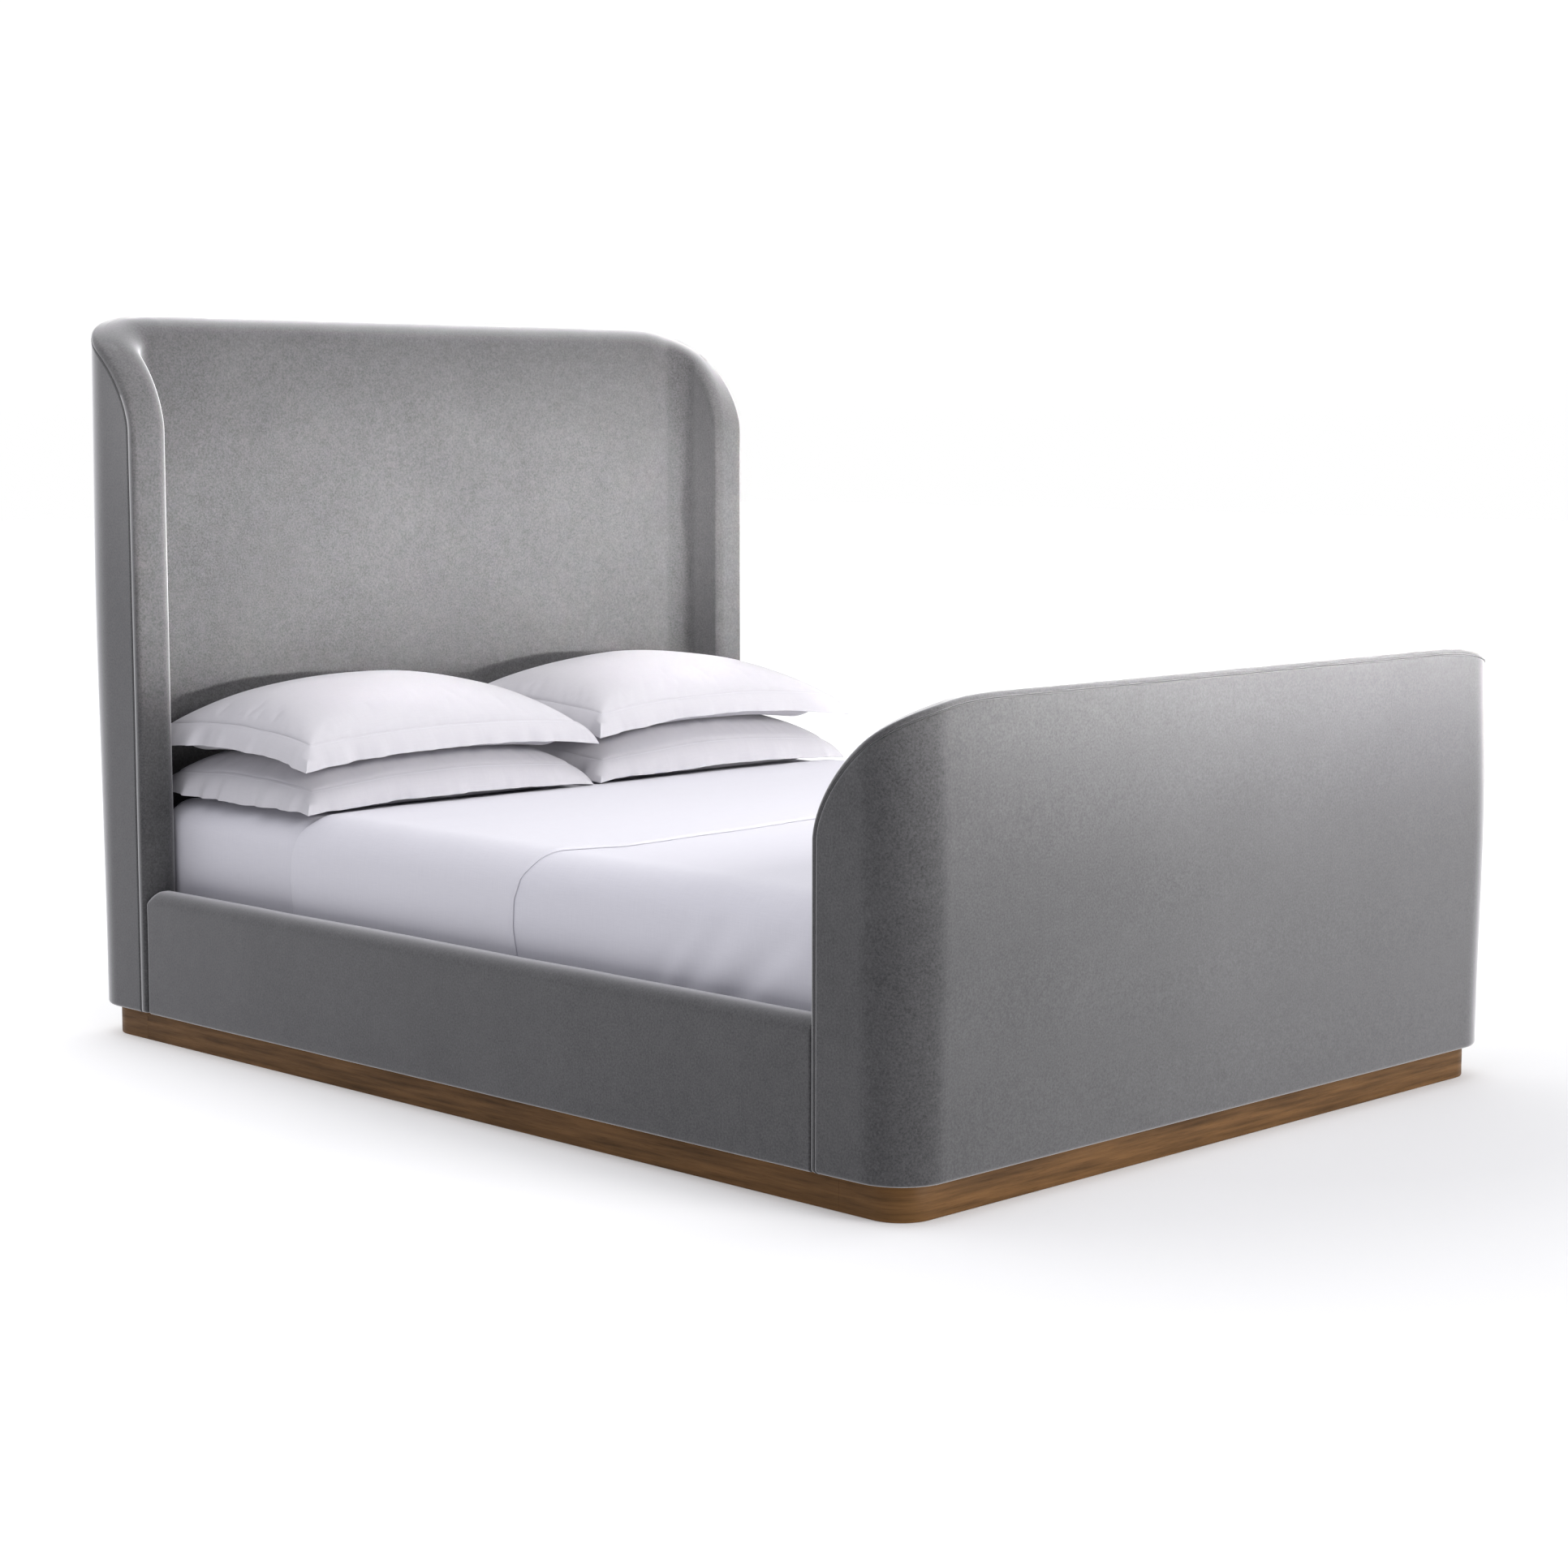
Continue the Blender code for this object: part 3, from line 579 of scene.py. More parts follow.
def railSection():
    # (x, z, push x, push z) round the padded cover, its open slot included
    out, inside = rail["outside"], rail["outside"] - rail["thick"]
    top, r, b = rail["top"], rail["round"], rail["bottomRound"]
    points = []
    for k in range(5):
        a = 0.5 * math.pi * k / 4
        points.append((out - b + b * math.sin(a), standAt + b - b * math.cos(a), 1.0, 0.0))
    for k in range(1, 14):
        points.append((out, mix(standAt + b, top - r, k / 14), 1.0, 0.0))
    for k in range(13):
        a = 0.5 * math.pi * k / 12
        points.append((out - r + r * math.cos(a), top - r + r * math.sin(a), math.cos(a), math.sin(a)))
    for k in range(1, 13):
        a = 0.5 * math.pi * k / 12
        points.append((inside + r - r * math.sin(a), top - r + r * math.cos(a), -math.sin(a), math.cos(a)))
    for k in range(1, 8):
        points.append((inside, mix(top - r, standAt, k / 7), -1.0, 0.0))
    middle = (out + inside) / 2
    points += [(middle - rail["slot"], standAt, 0.0, 0.0), (middle - rail["slot"], rail["slotTop"], 0.0, 0.0),
               (middle + rail["slot"], rail["slotTop"], 0.0, 0.0), (middle + rail["slot"], standAt, 0.0, 0.0)]
    return points


def buildRail(side, hand):
    section = railSection()
    ends, rows = rail["endSteps"], rail["rows"]
    length = rail["headY"] - rail["footY"]
    places = [rail["footY"] + e for e in ends]
    places += [rail["footY"] + mix(ends[-1], length - ends[-1], k / rows) for k in range(1, rows)]
    places += [rail["headY"] - e for e in reversed(ends)]
    verts, uvs = [], []

    def inward(radius, away):
        return radius - math.sqrt(max(radius * radius - (radius - away) ** 2, 0.0)) if away < radius else 0.0

    for y in places:
        foot, head = y - rail["footY"], rail["headY"] - y
        sides = inward(rail["endRound"], head) + inward(rail["footRound"], foot)
        tops = inward(rail["headTopRound"], head) + inward(rail["footTopRound"], foot)
        run = 0.0
        for k, (x, z, px, pz) in enumerate(section):
            pad = 0.0010 * soft(2.4 * y, 3.0 * z, x, 11.0 + side) + 0.0006 * soft(9.0 * y, 7.0 * z, x, 5.0)
            verts.append(Vector((side * (x - px * (sides - pad)), y + middleY, z - pz * (tops - pad))))
            run += math.hypot(x - section[k - 1][0], z - section[k - 1][1]) if k else 0.0
            uvs.append((y, run))
    faces = sleeveFaces(len(places), len(section))
    piece = newObject("side_rail_%s_padded_cover" % hand, verts, faces, upholstery, uvs, 50.0)
    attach(piece, "bed_frame")
    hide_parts("side_rail_%s_cover" % hand)


buildRail(-1, "left")
buildRail(1, "right")
print("rails made")


# walnut plinth

plinth = {"width": 1.647, "length": 2.258, "height": 0.062, "thick": 0.022, "radius": 0.065, "back": 0.140,
          "edge": 0.0022, "jointGap": 0.0004}


def plinthBoard(label, node, path, normals):
    # a board with eased edges, bent along its path; grain follows the board
    e, h, t = plinth["edge"], plinth["height"], plinth["thick"]
    section = [(0.0, e), (e * 0.3, e * 0.3), (e, 0.0), (t - e, 0.0), (t - e * 0.3, e * 0.3), (t, e),
               (t, h - e), (t - e * 0.3, h - e * 0.3), (t - e, h), (e, h), (e * 0.3, h - e * 0.3), (0.0, h - e)]
    verts, uvs = [], []
    run = 0.0
    for i, here in enumerate(path):
        if i:
            run += (here - path[i - 1]).length
        for inset, z in section:
            verts.append((here.x - inset * normals[i].x, here.y - inset * normals[i].y + middleY, z))
            uvs.append((run, inset * 0.7 + z))
    piece = newObject(label, verts, sleeveFaces(len(path), len(section)), walnut, uvs, 30.0)
    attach(piece, "bed_frame")
    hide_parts(node)


def buildPlinth():
    w, l, r = plinth["width"] / 2, plinth["length"] / 2, plinth["radius"]
    start = l - plinth["back"]
    for way, label in ((-1, "foot"), (1, "head")):
        path, normals = [], []
        for k in range(5):
            path.append(Vector((-w, way * mix(start, l - r, k / 4))))
            normals.append(Vector((-1, 0)))
        for k in range(1, 17):
            a = 0.5 * math.pi * k / 16
            path.append(Vector((-w + r - r * math.cos(a), way * (l - r + r * math.sin(a)))))
            normals.append(Vector((-math.cos(a), way * math.sin(a))))
        path += [Vector((-p.x, p.y)) for p in reversed(path)]
        normals += [Vector((-n.x, n.y)) for n in reversed(normals)]
        plinthBoard("plinth_%s_bent_board" % label, "plinth_%s" % label, path, normals)
    for side, label in ((-1, "left"), (1, "right")):
        half = start - plinth["jointGap"]
        path = [Vector((side * w, mix(-half, half, k / 24))) for k in range(25)]
        plinthBoard("plinth_%s_board" % label, "plinth_%s" % label, path, [Vector((side, 0))] * 25)


buildPlinth()
print("plinth made")


# slats, ledges, beam and legs

base = {"slatSize": (1.536, 0.070, 0.019), "slatFirst": -0.9133, "slatStep": 0.16455, "slatZ": 0.2298, "slatCount": 12,
        "edge": 0.0035, "screwX": 0.752, "screwApart": 0.036, "screwRadius": 0.0042, "screwHeight": 0.0011,
        "screwZ": 0.2384}


def nodeTree(name, inputs):
    tree = bpy.data.node_groups.new(name, "GeometryNodeTree")
    tree.interface.new_socket(name="Geometry", in_out="INPUT", socket_type="NodeSocketGeometry")
    kinds = {"f": "NodeSocketFloat", "m": "NodeSocketMaterial"}
    for label, kind in inputs:
        tree.interface.new_socket(name=label, in_out="INPUT", socket_type=kinds[kind])
    tree.interface.new_socket(name="Geometry", in_out="OUTPUT", socket_type="NodeSocketGeometry")
    return tree, addNode(tree, "NodeGroupInput").outputs, addNode(tree, "NodeGroupOutput").inputs


def placeEach(tree, points, shape, material, result, turned=None):
    # one shape on every point, made real and given its material
    place = addNode(tree, "GeometryNodeInstanceOnPoints", {"Points": points, "Instance": shape, **(turned or {})})
    real = addNode(tree, "GeometryNodeRealizeInstances", {"Geometry": place.outputs["Instances"]})
    done = addNode(tree, "GeometryNodeSetMaterial", {"Geometry": real.outputs["Geometry"], "Material": material})
    tree.links.new(done.outputs["Geometry"], result["Geometry"])


def grow(name, tree, values, points, edges=()):
    # runs a tree on a few points or a path and keeps the result as a plain mesh
    mesh = bpy.data.meshes.new(name)
    mesh.from_pydata([tuple(p) for p in points], list(edges), [])
    obj = showObject(name, mesh)
    modifier = obj.modifiers.new("grow", "NODES")
    modifier.node_group = tree
    for item in tree.interface.items_tree:
        if item.in_out == "INPUT" and item.name in values:
            modifier[item.identifier] = values[item.name]
    bake(obj)
    for polygon in obj.data.polygons:
        polygon.use_smooth = True
    return obj


def makeSlatTree():
    # an eased rectangle swept along the slat's length
    tree, given, result = nodeTree("slatRow", [("Length", "f"), ("Width", "f"), ("Thickness", "f"), ("Edge", "f"),
                                               ("Timber", "m")])
    outline = addNode(tree, "GeometryNodeCurvePrimitiveQuadrilateral", {"Width": given["Thickness"],
                                                                        "Height": given["Width"]})
    eased = addNode(tree, "GeometryNodeFilletCurve", {"Curve": outline.outputs["Curve"], "Count": 3,
                                                      "Radius": given["Edge"]}, mode="POLY")
    half = mathNode(tree, "MULTIPLY", given["Length"], 0.5)
    start = addNode(tree, "ShaderNodeCombineXYZ", {"X": mathNode(tree, "MULTIPLY", half, -1.0)})
    end = addNode(tree, "ShaderNodeCombineXYZ", {"X": half})
    line = addNode(tree, "GeometryNodeCurvePrimitiveLine", {"Start": start.outputs[0], "End": end.outputs[0]})
    sweep = addNode(tree, "GeometryNodeCurveToMesh", {"Curve": line.outputs["Curve"], "Fill Caps": True,
                                                      "Profile Curve": eased.outputs["Curve"]})
    placeEach(tree, given["Geometry"], sweep.outputs["Mesh"], given["Timber"], result)
    return tree


def makeScrewTree():
    # a low countersunk head: a short cone with a drive sunk in the middle of its top
    tree, given, result = nodeTree("screwHeads", [("Head Radius", "f"), ("Head Height", "f"), ("Metal", "m")])
    radius, height = given["Head Radius"], given["Head Height"]
    head = addNode(tree, "GeometryNodeMeshCone", {"Vertices": 20, "Fill Segments": 2, "Radius Bottom": radius,
                                                  "Radius Top": mathNode(tree, "MULTIPLY", radius, 0.72),
                                                  "Depth": height})
    here = addNode(tree, "GeometryNodeInputPosition").outputs[0]
    split = addNode(tree, "ShaderNodeSeparateXYZ", {0: here})
    away = addNode(tree, "ShaderNodeVectorMath", {0: here}, operation="LENGTH")
    inside = addNode(tree, "FunctionNodeCompare", {0: away.outputs["Value"],
                                                   1: mathNode(tree, "MULTIPLY", radius, 0.45)}, operation="LESS_THAN")
    above = addNode(tree, "FunctionNodeCompare", {0: split.outputs["Z"], 1: 0.0001}, operation="GREATER_THAN")
    both = addNode(tree, "FunctionNodeBooleanMath", {0: inside.outputs[0], 1: above.outputs[0]})
    drive = addNode(tree, "GeometryNodeExtrudeMesh", {"Mesh": head.outputs["Mesh"], "Selection": both.outputs[0],
                                                      "Offset Scale": mathNode(tree, "MULTIPLY", height, -0.6),
                                                      "Individual": False}, mode="FACES")
    placeEach(tree, given["Geometry"], drive.outputs["Mesh"], given["Metal"], result)
    return tree


def makeStitchTree():
    # a small ellipsoid at every stitch, lying along the seam
    tree, given, result = nodeTree("stitchRun", [("Pitch", "f"), ("Stitch Length", "f"), ("Stitch Radius", "f"),
                                                 ("Thread", "m")])
    path = addNode(tree, "GeometryNodeMeshToCurve", {"Mesh": given["Geometry"]})
    points = addNode(tree, "GeometryNodeCurveToPoints", {"Curve": path.outputs["Curve"], "Length": given["Pitch"]},
                     mode="LENGTH")
    turn = addNode(tree, "FunctionNodeAlignRotationToVector", {"Vector": points.outputs["Tangent"]}, axis="Z")
    stitch = addNode(tree, "GeometryNodeMeshUVSphere", {"Segments": 6, "Rings": 4, "Radius": 1.0})
    size = addNode(tree, "ShaderNodeCombineXYZ", {"X": given["Stitch Radius"], "Y": given["Stitch Radius"],
                                                  "Z": mathNode(tree, "MULTIPLY", given["Stitch Length"], 0.5)})
    placeEach(tree, points.outputs["Points"], stitch.outputs["Mesh"], given["Thread"], result,
              {"Rotation": turn.outputs["Rotation"], "Scale": size.outputs[0]})
    return tree


slatTree = makeSlatTree()
screwTree = makeScrewTree()
stitchTree = makeStitchTree()


def timberBar(label, node, along, edge=0.0025):
    # a square-cut length with eased edges, as big as its node; its map runs along the grain
    low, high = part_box(node)
    bm = bmesh.new()
    bmesh.ops.create_cube(bm, size=1.0)
    for vert in bm.verts:
        vert.co = Vector(mix(low[k], high[k], vert.co[k] + 0.5) for k in range(3))
    bmesh.ops.bevel(bm, geom=list(bm.edges), offset=edge, segments=2, affect="EDGES", profile=0.5)
    layer = bm.loops.layers.uv.new("UVMap")
    others = [k for k in range(3) if k != along]
    for face in bm.faces:
        face.smooth = True
        for loop in face.loops:
            co = loop.vert.co
            loop[layer].uv = (co[along], co[others[0]] + 0.83 * co[others[1]])
    for item in bm.edges:
        if item.calc_face_angle(0.0) > math.radians(50):
            item.smooth = False
    mesh = bpy.data.meshes.new(label)
    bm.to_mesh(mesh)
    bm.free()
    mesh.materials.append(barWood)
    obj = showObject(label, mesh)
    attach(obj, "bed_frame")
    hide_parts(node)


def buildBase():
    length, width, thick = base["slatSize"]
    rows = [base["slatFirst"] + k * base["slatStep"] for k in range(base["slatCount"])]
    slats = grow("bed_slats", slatTree, {"Length": length, "Width": width, "Thickness": thick, "Edge": base["edge"],
                                         "Timber": slatWood}, [(0.0, y, base["slatZ"]) for y in rows])
    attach(slats, "bed_frame")
    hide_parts(*["slat_%02d" % (k + 1) for k in range(base["slatCount"])])
    heads = [(side * base["screwX"], y + way * base["screwApart"] / 2, base["screwZ"])
             for y in rows for side in (-1, 1) for way in (-1, 1)]
    screws = grow("slat_screws", screwTree, {"Head Radius": base["screwRadius"], "Head Height": base["screwHeight"],
                                             "Metal": zincSteel}, heads)
    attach(screws, "bed_frame")
    for hand in ("left", "right"):
        timberBar("slat_ledge_%s_batten" % hand, "slat_ledge_" + hand, 1)
    timberBar("centre_beam_bar", "centre_beam", 1, 0.003)
    for k in (1, 2, 3):
        timberBar("centre_leg_post_%d" % k, "centre_leg_%d" % k, 2, 0.003)


buildBase()
shown = {"headboard_frame": frameWood, "footboard_frame": frameWood, "side_rail_left_board": frameWood,
         "side_rail_right_board": frameWood, "hook_plate": zincSteel, "socket": zincSteel, "bracket": zincSteel,
         "glide": blackPlastic}  # nodes that keep their own shape, by a part of their name
for node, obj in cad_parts.items():
    for part, mat in shown.items():
        if part in node:
            for place in obj.material_slots:
                place.link = "OBJECT"
                place.material = mat
print("base made")


# mattress and bedding: each layer is cut flat, then laid over the mattress by one rule

bedding = {"halfWidth": 0.7545, "foot": -0.996, "head": 1.036, "low": 0.2396, "top": 0.4896, "roll": 0.055,
           "bulge": 0.0045, "hemZ": 0.2465, "fitted": 0.0009, "under": 0.0024, "coverlet": 0.0053, "cuff": 0.0083,
           "sheetThick": 0.0008, "coverletThick": 0.0034, "blockStep": 0.020, "blockEdge": 0.012, "tape": 0.0026,
           "sheetStep": 0.0145, "coverletStep": 0.0125, "plainTo": 0.43}
reachSide = bedding["roll"] * math.pi / 2 + bedding["top"] - bedding["roll"] - bedding["hemZ"]
coreX = bedding["halfWidth"] - bedding["roll"]
coreFoot = bedding["foot"] + bedding["roll"]
coreHead = bedding["head"] - bedding["roll"]


def layOut(u, v):
    # nearest point of the flat top, how far past it the cloth reaches, and which way it falls
    core = Vector((min(max(u, -coreX), coreX), min(max(v, coreFoot), coreHead)))
    du, dv = u - core.x, v - core.y
    reach = max(abs(du), abs(dv))
    if reach < 1e-9:
        return core, 0.0, Vector((1.0, 0.0))
    turn = 0.25 * math.pi * min(abs(du), abs(dv)) / reach
    if abs(dv) > abs(du):
        turn = 0.5 * math.pi - turn
    return core, reach, Vector((math.copysign(math.cos(turn), du) if du else 0.0,
                                math.copysign(math.sin(turn), dv) if dv else 0.0))


def uneven(u, v, reach):
    # soft hollows on top, and sides that swell in the middle of their drop
    up = 1 - smoothStep(0.0, 0.08, reach)
    side = smoothStep(0.02, 0.09, reach)
    soften = 0.0011 * soft(2.2 * u, 2.2 * v, 0.0, 7.0) + 0.0006 * soft(6.5 * u, 6.5 * v, 0.0, 9.0)
    belly = bedding["bulge"] * math.sin(math.pi * min(max((reach - 0.03) / 0.27, 0.0), 1.0))
    return up * soften + side * (belly + 0.0012 * soft(3.0 * u, 3.0 * v, 0.0, 4.0))


def lieOn(u, v, off):
    # where a point of flat cloth lies once laid, at a height off the mattress, and which way it faces there
    r = bedding["roll"]
    core, reach, way = layOut(u, v)
    turn = min(reach / r, 0.5 * math.pi)
    normal = Vector((way.x * math.sin(turn), way.y * math.sin(turn), math.cos(turn)))
    spot = Vector((core.x + way.x * r * math.sin(turn), core.y + way.y * r * math.sin(turn) + middleY,
                   bedding["top"] - r + r * math.cos(turn) - max(reach - 0.5 * math.pi * r, 0.0)))
    return spot + normal * (off + uneven(u, v, reach)), normal


def stations(low, high, coreLow, coreHigh, step, rollSteps=9):
    # even steps over the flat part, closer ones round each roll
    rollLength = bedding["roll"] * math.pi / 2
    even = max(int((coreHigh - coreLow) / step), 1)
    cuts = [coreLow + (coreHigh - coreLow) * k / even for k in range(even + 1)]
    before, after = [], []
    for edge, limit, made in ((coreLow, low, before), (coreHigh, high, after)):
        way = -1 if limit < edge else 1
        past = abs(limit - edge)
        if past < 1e-6:
            continue
        made += [edge + way * rollLength * k / rollSteps for k in range(1, rollSteps + 1)]
        count = max(int((past - rollLength) / step), 1)
        made += [edge + way * mix(rollLength, past, k / count) for k in range(1, count + 1)]
    return before[::-1] + cuts + after


columnsU = stations(-coreX - reachSide, coreX + reachSide, -coreX, coreX, bedding["coverletStep"])


def thicken(obj, thick):
    modifier = obj.modifiers.new("clothThickness", "SOLIDIFY")
    modifier.thickness = thick
    modifier.offset = 0.0
    modifier.use_even_offset = False
    bake(obj)


def buildMattress():
    rows = stations(coreFoot - reachSide, coreHead + reachSide, coreFoot, coreHead, bedding["blockStep"])
    columns = stations(-coreX - reachSide, coreX + reachSide, -coreX, coreX, bedding["blockStep"])
    verts, uvs = [], []
    for u in columns:
        for v in rows:
            verts.append(lieOn(u, v, 0.0)[0])
            uvs.append((u, v))
    faces = gridFaces(0, len(columns), len(rows))
    n = len(rows)
    ring = ([i * n for i in range(len(columns))] + [(len(columns) - 1) * n + j for j in range(1, n)]
            + [i * n + n - 1 for i in reversed(range(len(columns) - 1))] + [j for j in reversed(range(1, n - 1))])
    edge = bedding["blockEdge"]
    piping = []
    last = ring
    for angle in (0.0, 18.0, 36.0, 54.0, 72.0, 90.0, None):  # round the lower edge, then in under the block
        made = []
        for k in ring:
            way = layOut(*uvs[k])[2]
            start = verts[k]
            if angle is None:
                inset, z = 0.05, bedding["low"]
            else:
                a = math.radians(angle)
                inset, z = edge * (1 - math.cos(a)), bedding["low"] + edge - edge * math.sin(a)
            made.append(Vector((start.x - way.x * inset, start.y - way.y * inset, z)))
            if angle == 54.0:
                piping.append(made[-1] + Vector((way.x, way.y, -1.0)) * -0.0004)
        fresh = [len(verts) + k for k in range(len(ring))]
        verts += made
        uvs += [(p.x, p.y) for p in made]
        for k in range(len(ring)):
            after = (k + 1) % len(ring)
            faces.append((last[k], last[after], fresh[after], fresh[k]))
        last = fresh
    faces.append(tuple(last))
    core = newObject("mattress_block", verts, faces, ticking, uvs, 45.0)
    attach(core, "made_mattress")
    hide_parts("mattress")
    loop = piping + [piping[0]]
    tape = tubeAlong("mattress_tape_edge", loop, [p + Vector((0, 0, 0.1)) for p in loop], bedding["tape"], ticking)
    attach(tape, "made_mattress")


def buildFittedSheet():
    rows = stations(coreFoot - reachSide, coreHead + reachSide, coreFoot, coreHead, bedding["sheetStep"])
    uvs = [(u, v) for u in columnsU for v in rows]
    verts = [lieOn(u, v, bedding["fitted"])[0] for u, v in uvs]
    faces = gridFaces(0, len(columnsU), len(rows))
    sheet = newObject("fitted_bottom_sheet", verts, faces, sheetCotton, uvs, 60.0, False)
    thicken(sheet, bedding["sheetThick"])
    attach(sheet, "made_mattress")
    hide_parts("fitted_sheet")


def along(points, at):
    # smooth reading of a line of (place, value) pairs
    if at <= points[0][0]:
        return points[0][1]
    for (a, first), (b, second) in zip(points, points[1:]):
        if at <= b:
            t = (at - a) / (b - a)
            return mix(first, second, t * t * (3 - 2 * t) * 0.5 + t * 0.5)
    return points[-1][1]


cuffEdge = [(-0.96, -0.134), (-0.920, -0.131), (-0.862, -0.121), (-0.816, -0.123), (-0.778, -0.137), (-0.748, -0.158),
            (-0.70, -0.185), (-0.653, -0.199), (-0.586, -0.224), (-0.488, -0.222), (-0.387, -0.215), (-0.252, -0.210),
            (-0.075, -0.196), (0.10, -0.190), (0.26, -0.200), (0.42, -0.212), (0.56, -0.216), (0.66, -0.199),
            (0.75, -0.160), (0.82, -0.134), (0.96, -0.128)]
foldEdge = [(-0.96, 0.544), (-0.907, 0.546), (-0.850, 0.551), (-0.811, 0.550), (-0.766, 0.536), (-0.720, 0.512),
            (-0.640, 0.522), (-0.50, 0.535), (0.0, 0.532), (0.50, 0.535), (0.64, 0.522), (0.72, 0.512), (0.766, 0.536),
            (0.811, 0.550), (0.96, 0.545)]

# soft creases on the coverlet, each as (distance from sideU, v) on the flat cloth, with width and height
sideU = coreX + bedding["roll"] * math.pi / 2 + bedding["top"] - bedding["roll"]
creases = [([(0.432, -0.611), (0.393, -0.568), (0.335, -0.517), (0.27, -0.49)], 0.016, -0.0030),
           ([(0.456, -0.707), (0.403, -0.647), (0.335, -0.586), (0.27, -0.55)], 0.018, -0.0034),
           ([(0.394, -0.784), (0.359, -0.737), (0.29, -0.68)], 0.015, -0.0026),
           ([(0.431, -0.848), (0.401, -0.807), (0.356, -0.749), (0.30, -0.69)], 0.017, -0.0034),
           ([(0.445, -0.655), (0.400, -0.606), (0.335, -0.550), (0.27, -0.52)], 0.020, 0.0034),
           ([(0.440, -0.770), (0.385, -0.700), (0.330, -0.645), (0.28, -0.61)], 0.020, 0.0030),
           ([(0.450, -0.905), (0.400, -0.850), (0.345, -0.790), (0.29, -0.74)], 0.020, 0.0030),
           ([(0.400, -0.470), (0.340, -0.430), (0.28, -0.41)], 0.030, 0.0016)]


def creaseHeight(u, v):
    lift = 0.0
    for shiftV, side in ((0.0, -1), (0.06, 1)):
        if side * u < 0.55:
            continue
        for line, width, height in creases:
            best, share = 1.0, 0.0
            p = Vector((side * u, v))
            for k in range(len(line) - 1):
                a = Vector((sideU - line[k][0], line[k][1] + shiftV))
                b = Vector((sideU - line[k + 1][0], line[k + 1][1] + shiftV))
                t = min(max((p - a).dot(b - a) / (b - a).length_squared, 0.0), 1.0)
                d = (p - a - (b - a) * t).length
                if d < best:
                    best, share = d, (k + t) / (len(line) - 1)
            lift += 0.8 * height * math.exp(-(best / (1.35 * width)) ** 2) * smoothStep(-0.05, 0.25, share)
    return lift


def coverWave(u, v):
    # loose cloth over the coverlet's top and sides; never sinks below the layer under it
    side = smoothStep(0.02, 0.10, layOut(u, v)[1])
    wave = 0.0006 * (1 + soft(5.0 * u, 3.0 * v, 0.0, 21.0)) + 0.0012 * side * (1 + soft(4.0 * v, 5.0 * u, 0.0, 25.0))
    return wave + max(creaseHeight(u, v) + 0.0032 * side, 0.0)


def cuffWave(u, v):
    # drawn-up lines run across the bed from the turned edge
    flat = 1 - smoothStep(0.0, 0.06, layOut(u, v)[1])
    line = soft(1.6 * u, 15.0 * v + 2.0 * u, 0.0, 31.0)
    slant = soft(3.0 * u + 5.0 * v, 9.0 * v - 3.0 * u, 0.0, 35.0)
    return flat * (0.0012 * (1 + line) + 0.0010 * (1 + slant)) + (1 - flat) * 0.0006 * (1 + slant)


def buildCoverlet():
    rows = stations(coreFoot - reachSide, coreHead, coreFoot, coreHead, bedding["coverletStep"])
    rows = [v for v in rows if v < bedding["plainTo"]]
    lastRows = 8
    verts, uvs = [], []
    for u in columnsU:
        tip = along(foldEdge, u) - 0.010
        for v in rows + [mix(rows[-1], tip, k / lastRows) for k in range(1, lastRows + 1)]:
            verts.append(lieOn(u, v, bedding["coverlet"] + coverWave(u, v))[0])
            uvs.append((u, v))
    faces = gridFaces(0, len(columnsU), len(rows) + lastRows)
    cover = newObject("coverlet_cloth", verts, faces, coverletCotton, uvs, 60.0, False)
    thicken(cover, bedding["coverletThick"])
    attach(cover, "made_mattress")
    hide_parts("coverlet")


def buildTopSheet():
    # over the coverlet from its turned edge to the fold, round the fold, then back under the coverlet to the foot
    topRows, foldRows, backRows = 70, 6, 8
    rows = stations(coreFoot - reachSide, coreHead, coreFoot, coreHead, bedding["sheetStep"])
    rows = [v for v in rows if v < bedding["plainTo"]]
    verts, uvs, hem, hemGuide = [], [], [], []
    radius = 0.5 * (bedding["cuff"] - bedding["under"])
    for u in columnsU:
        start, tip = along(cuffEdge, u), along(foldEdge, u)
        puff = 0.0007 + 0.0006 * soft(6.0 * u, 0.0, 0.0, 41.0)
        for k in range(topRows + 1):
            v = mix(start, tip, (k / topRows) ** 1.35)
            back = v - start
            edge = smoothStep(0.0, 0.010, back)
            soften = math.exp(-((back - 0.013) / 0.013) ** 2)
            rest = 1 - smoothStep(tip - 0.06, tip, v)
            lift = rest * (coverWave(u, v) + edge * cuffWave(u, v)) + (1 - rest) * coverWave(u, tip)
            height = mix(bedding["coverlet"] + 0.0030, bedding["cuff"], edge)
            spot, normal = lieOn(u, v, height + lift + edge * soften * puff)
            verts.append(spot)
            uvs.append((u, -v))
            if k == 0:
                hem.append(lieOn(u, v + 0.0022, bedding["coverlet"] + lift + 0.0013)[0])
                hemGuide.append(spot + normal * 0.05)
        lastLift = coverWave(u, tip)
        for k in range(1, foldRows):
            a = math.pi * k / foldRows
            spread = radius + 0.5 * lastLift
            verts.append(lieOn(u, tip + spread * math.sin(a), bedding["under"] + spread + spread * math.cos(a))[0])
            uvs.append((u, -tip - spread * a))
        back = [mix(rows[-1], tip, k / backRows) for k in reversed(range(1, backRows + 1))] + rows[::-1]
        for v in back:
            verts.append(lieOn(u, v, bedding["under"])[0])
            uvs.append((u, v - 2 * tip))
    faces = gridFaces(0, len(columnsU), topRows + foldRows + len(back))
    sheet = newObject("flat_top_sheet", verts, faces, sheetCotton, uvs, 80.0, False)
    thicken(sheet, bedding["sheetThick"])
    piping = tubeAlong("top_sheet_rolled_hem", hem, hemGuide, 0.0009, sheetCotton, 10)
    for piece in (sheet, piping):
        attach(piece, "made_mattress")
    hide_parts("flat_sheet")


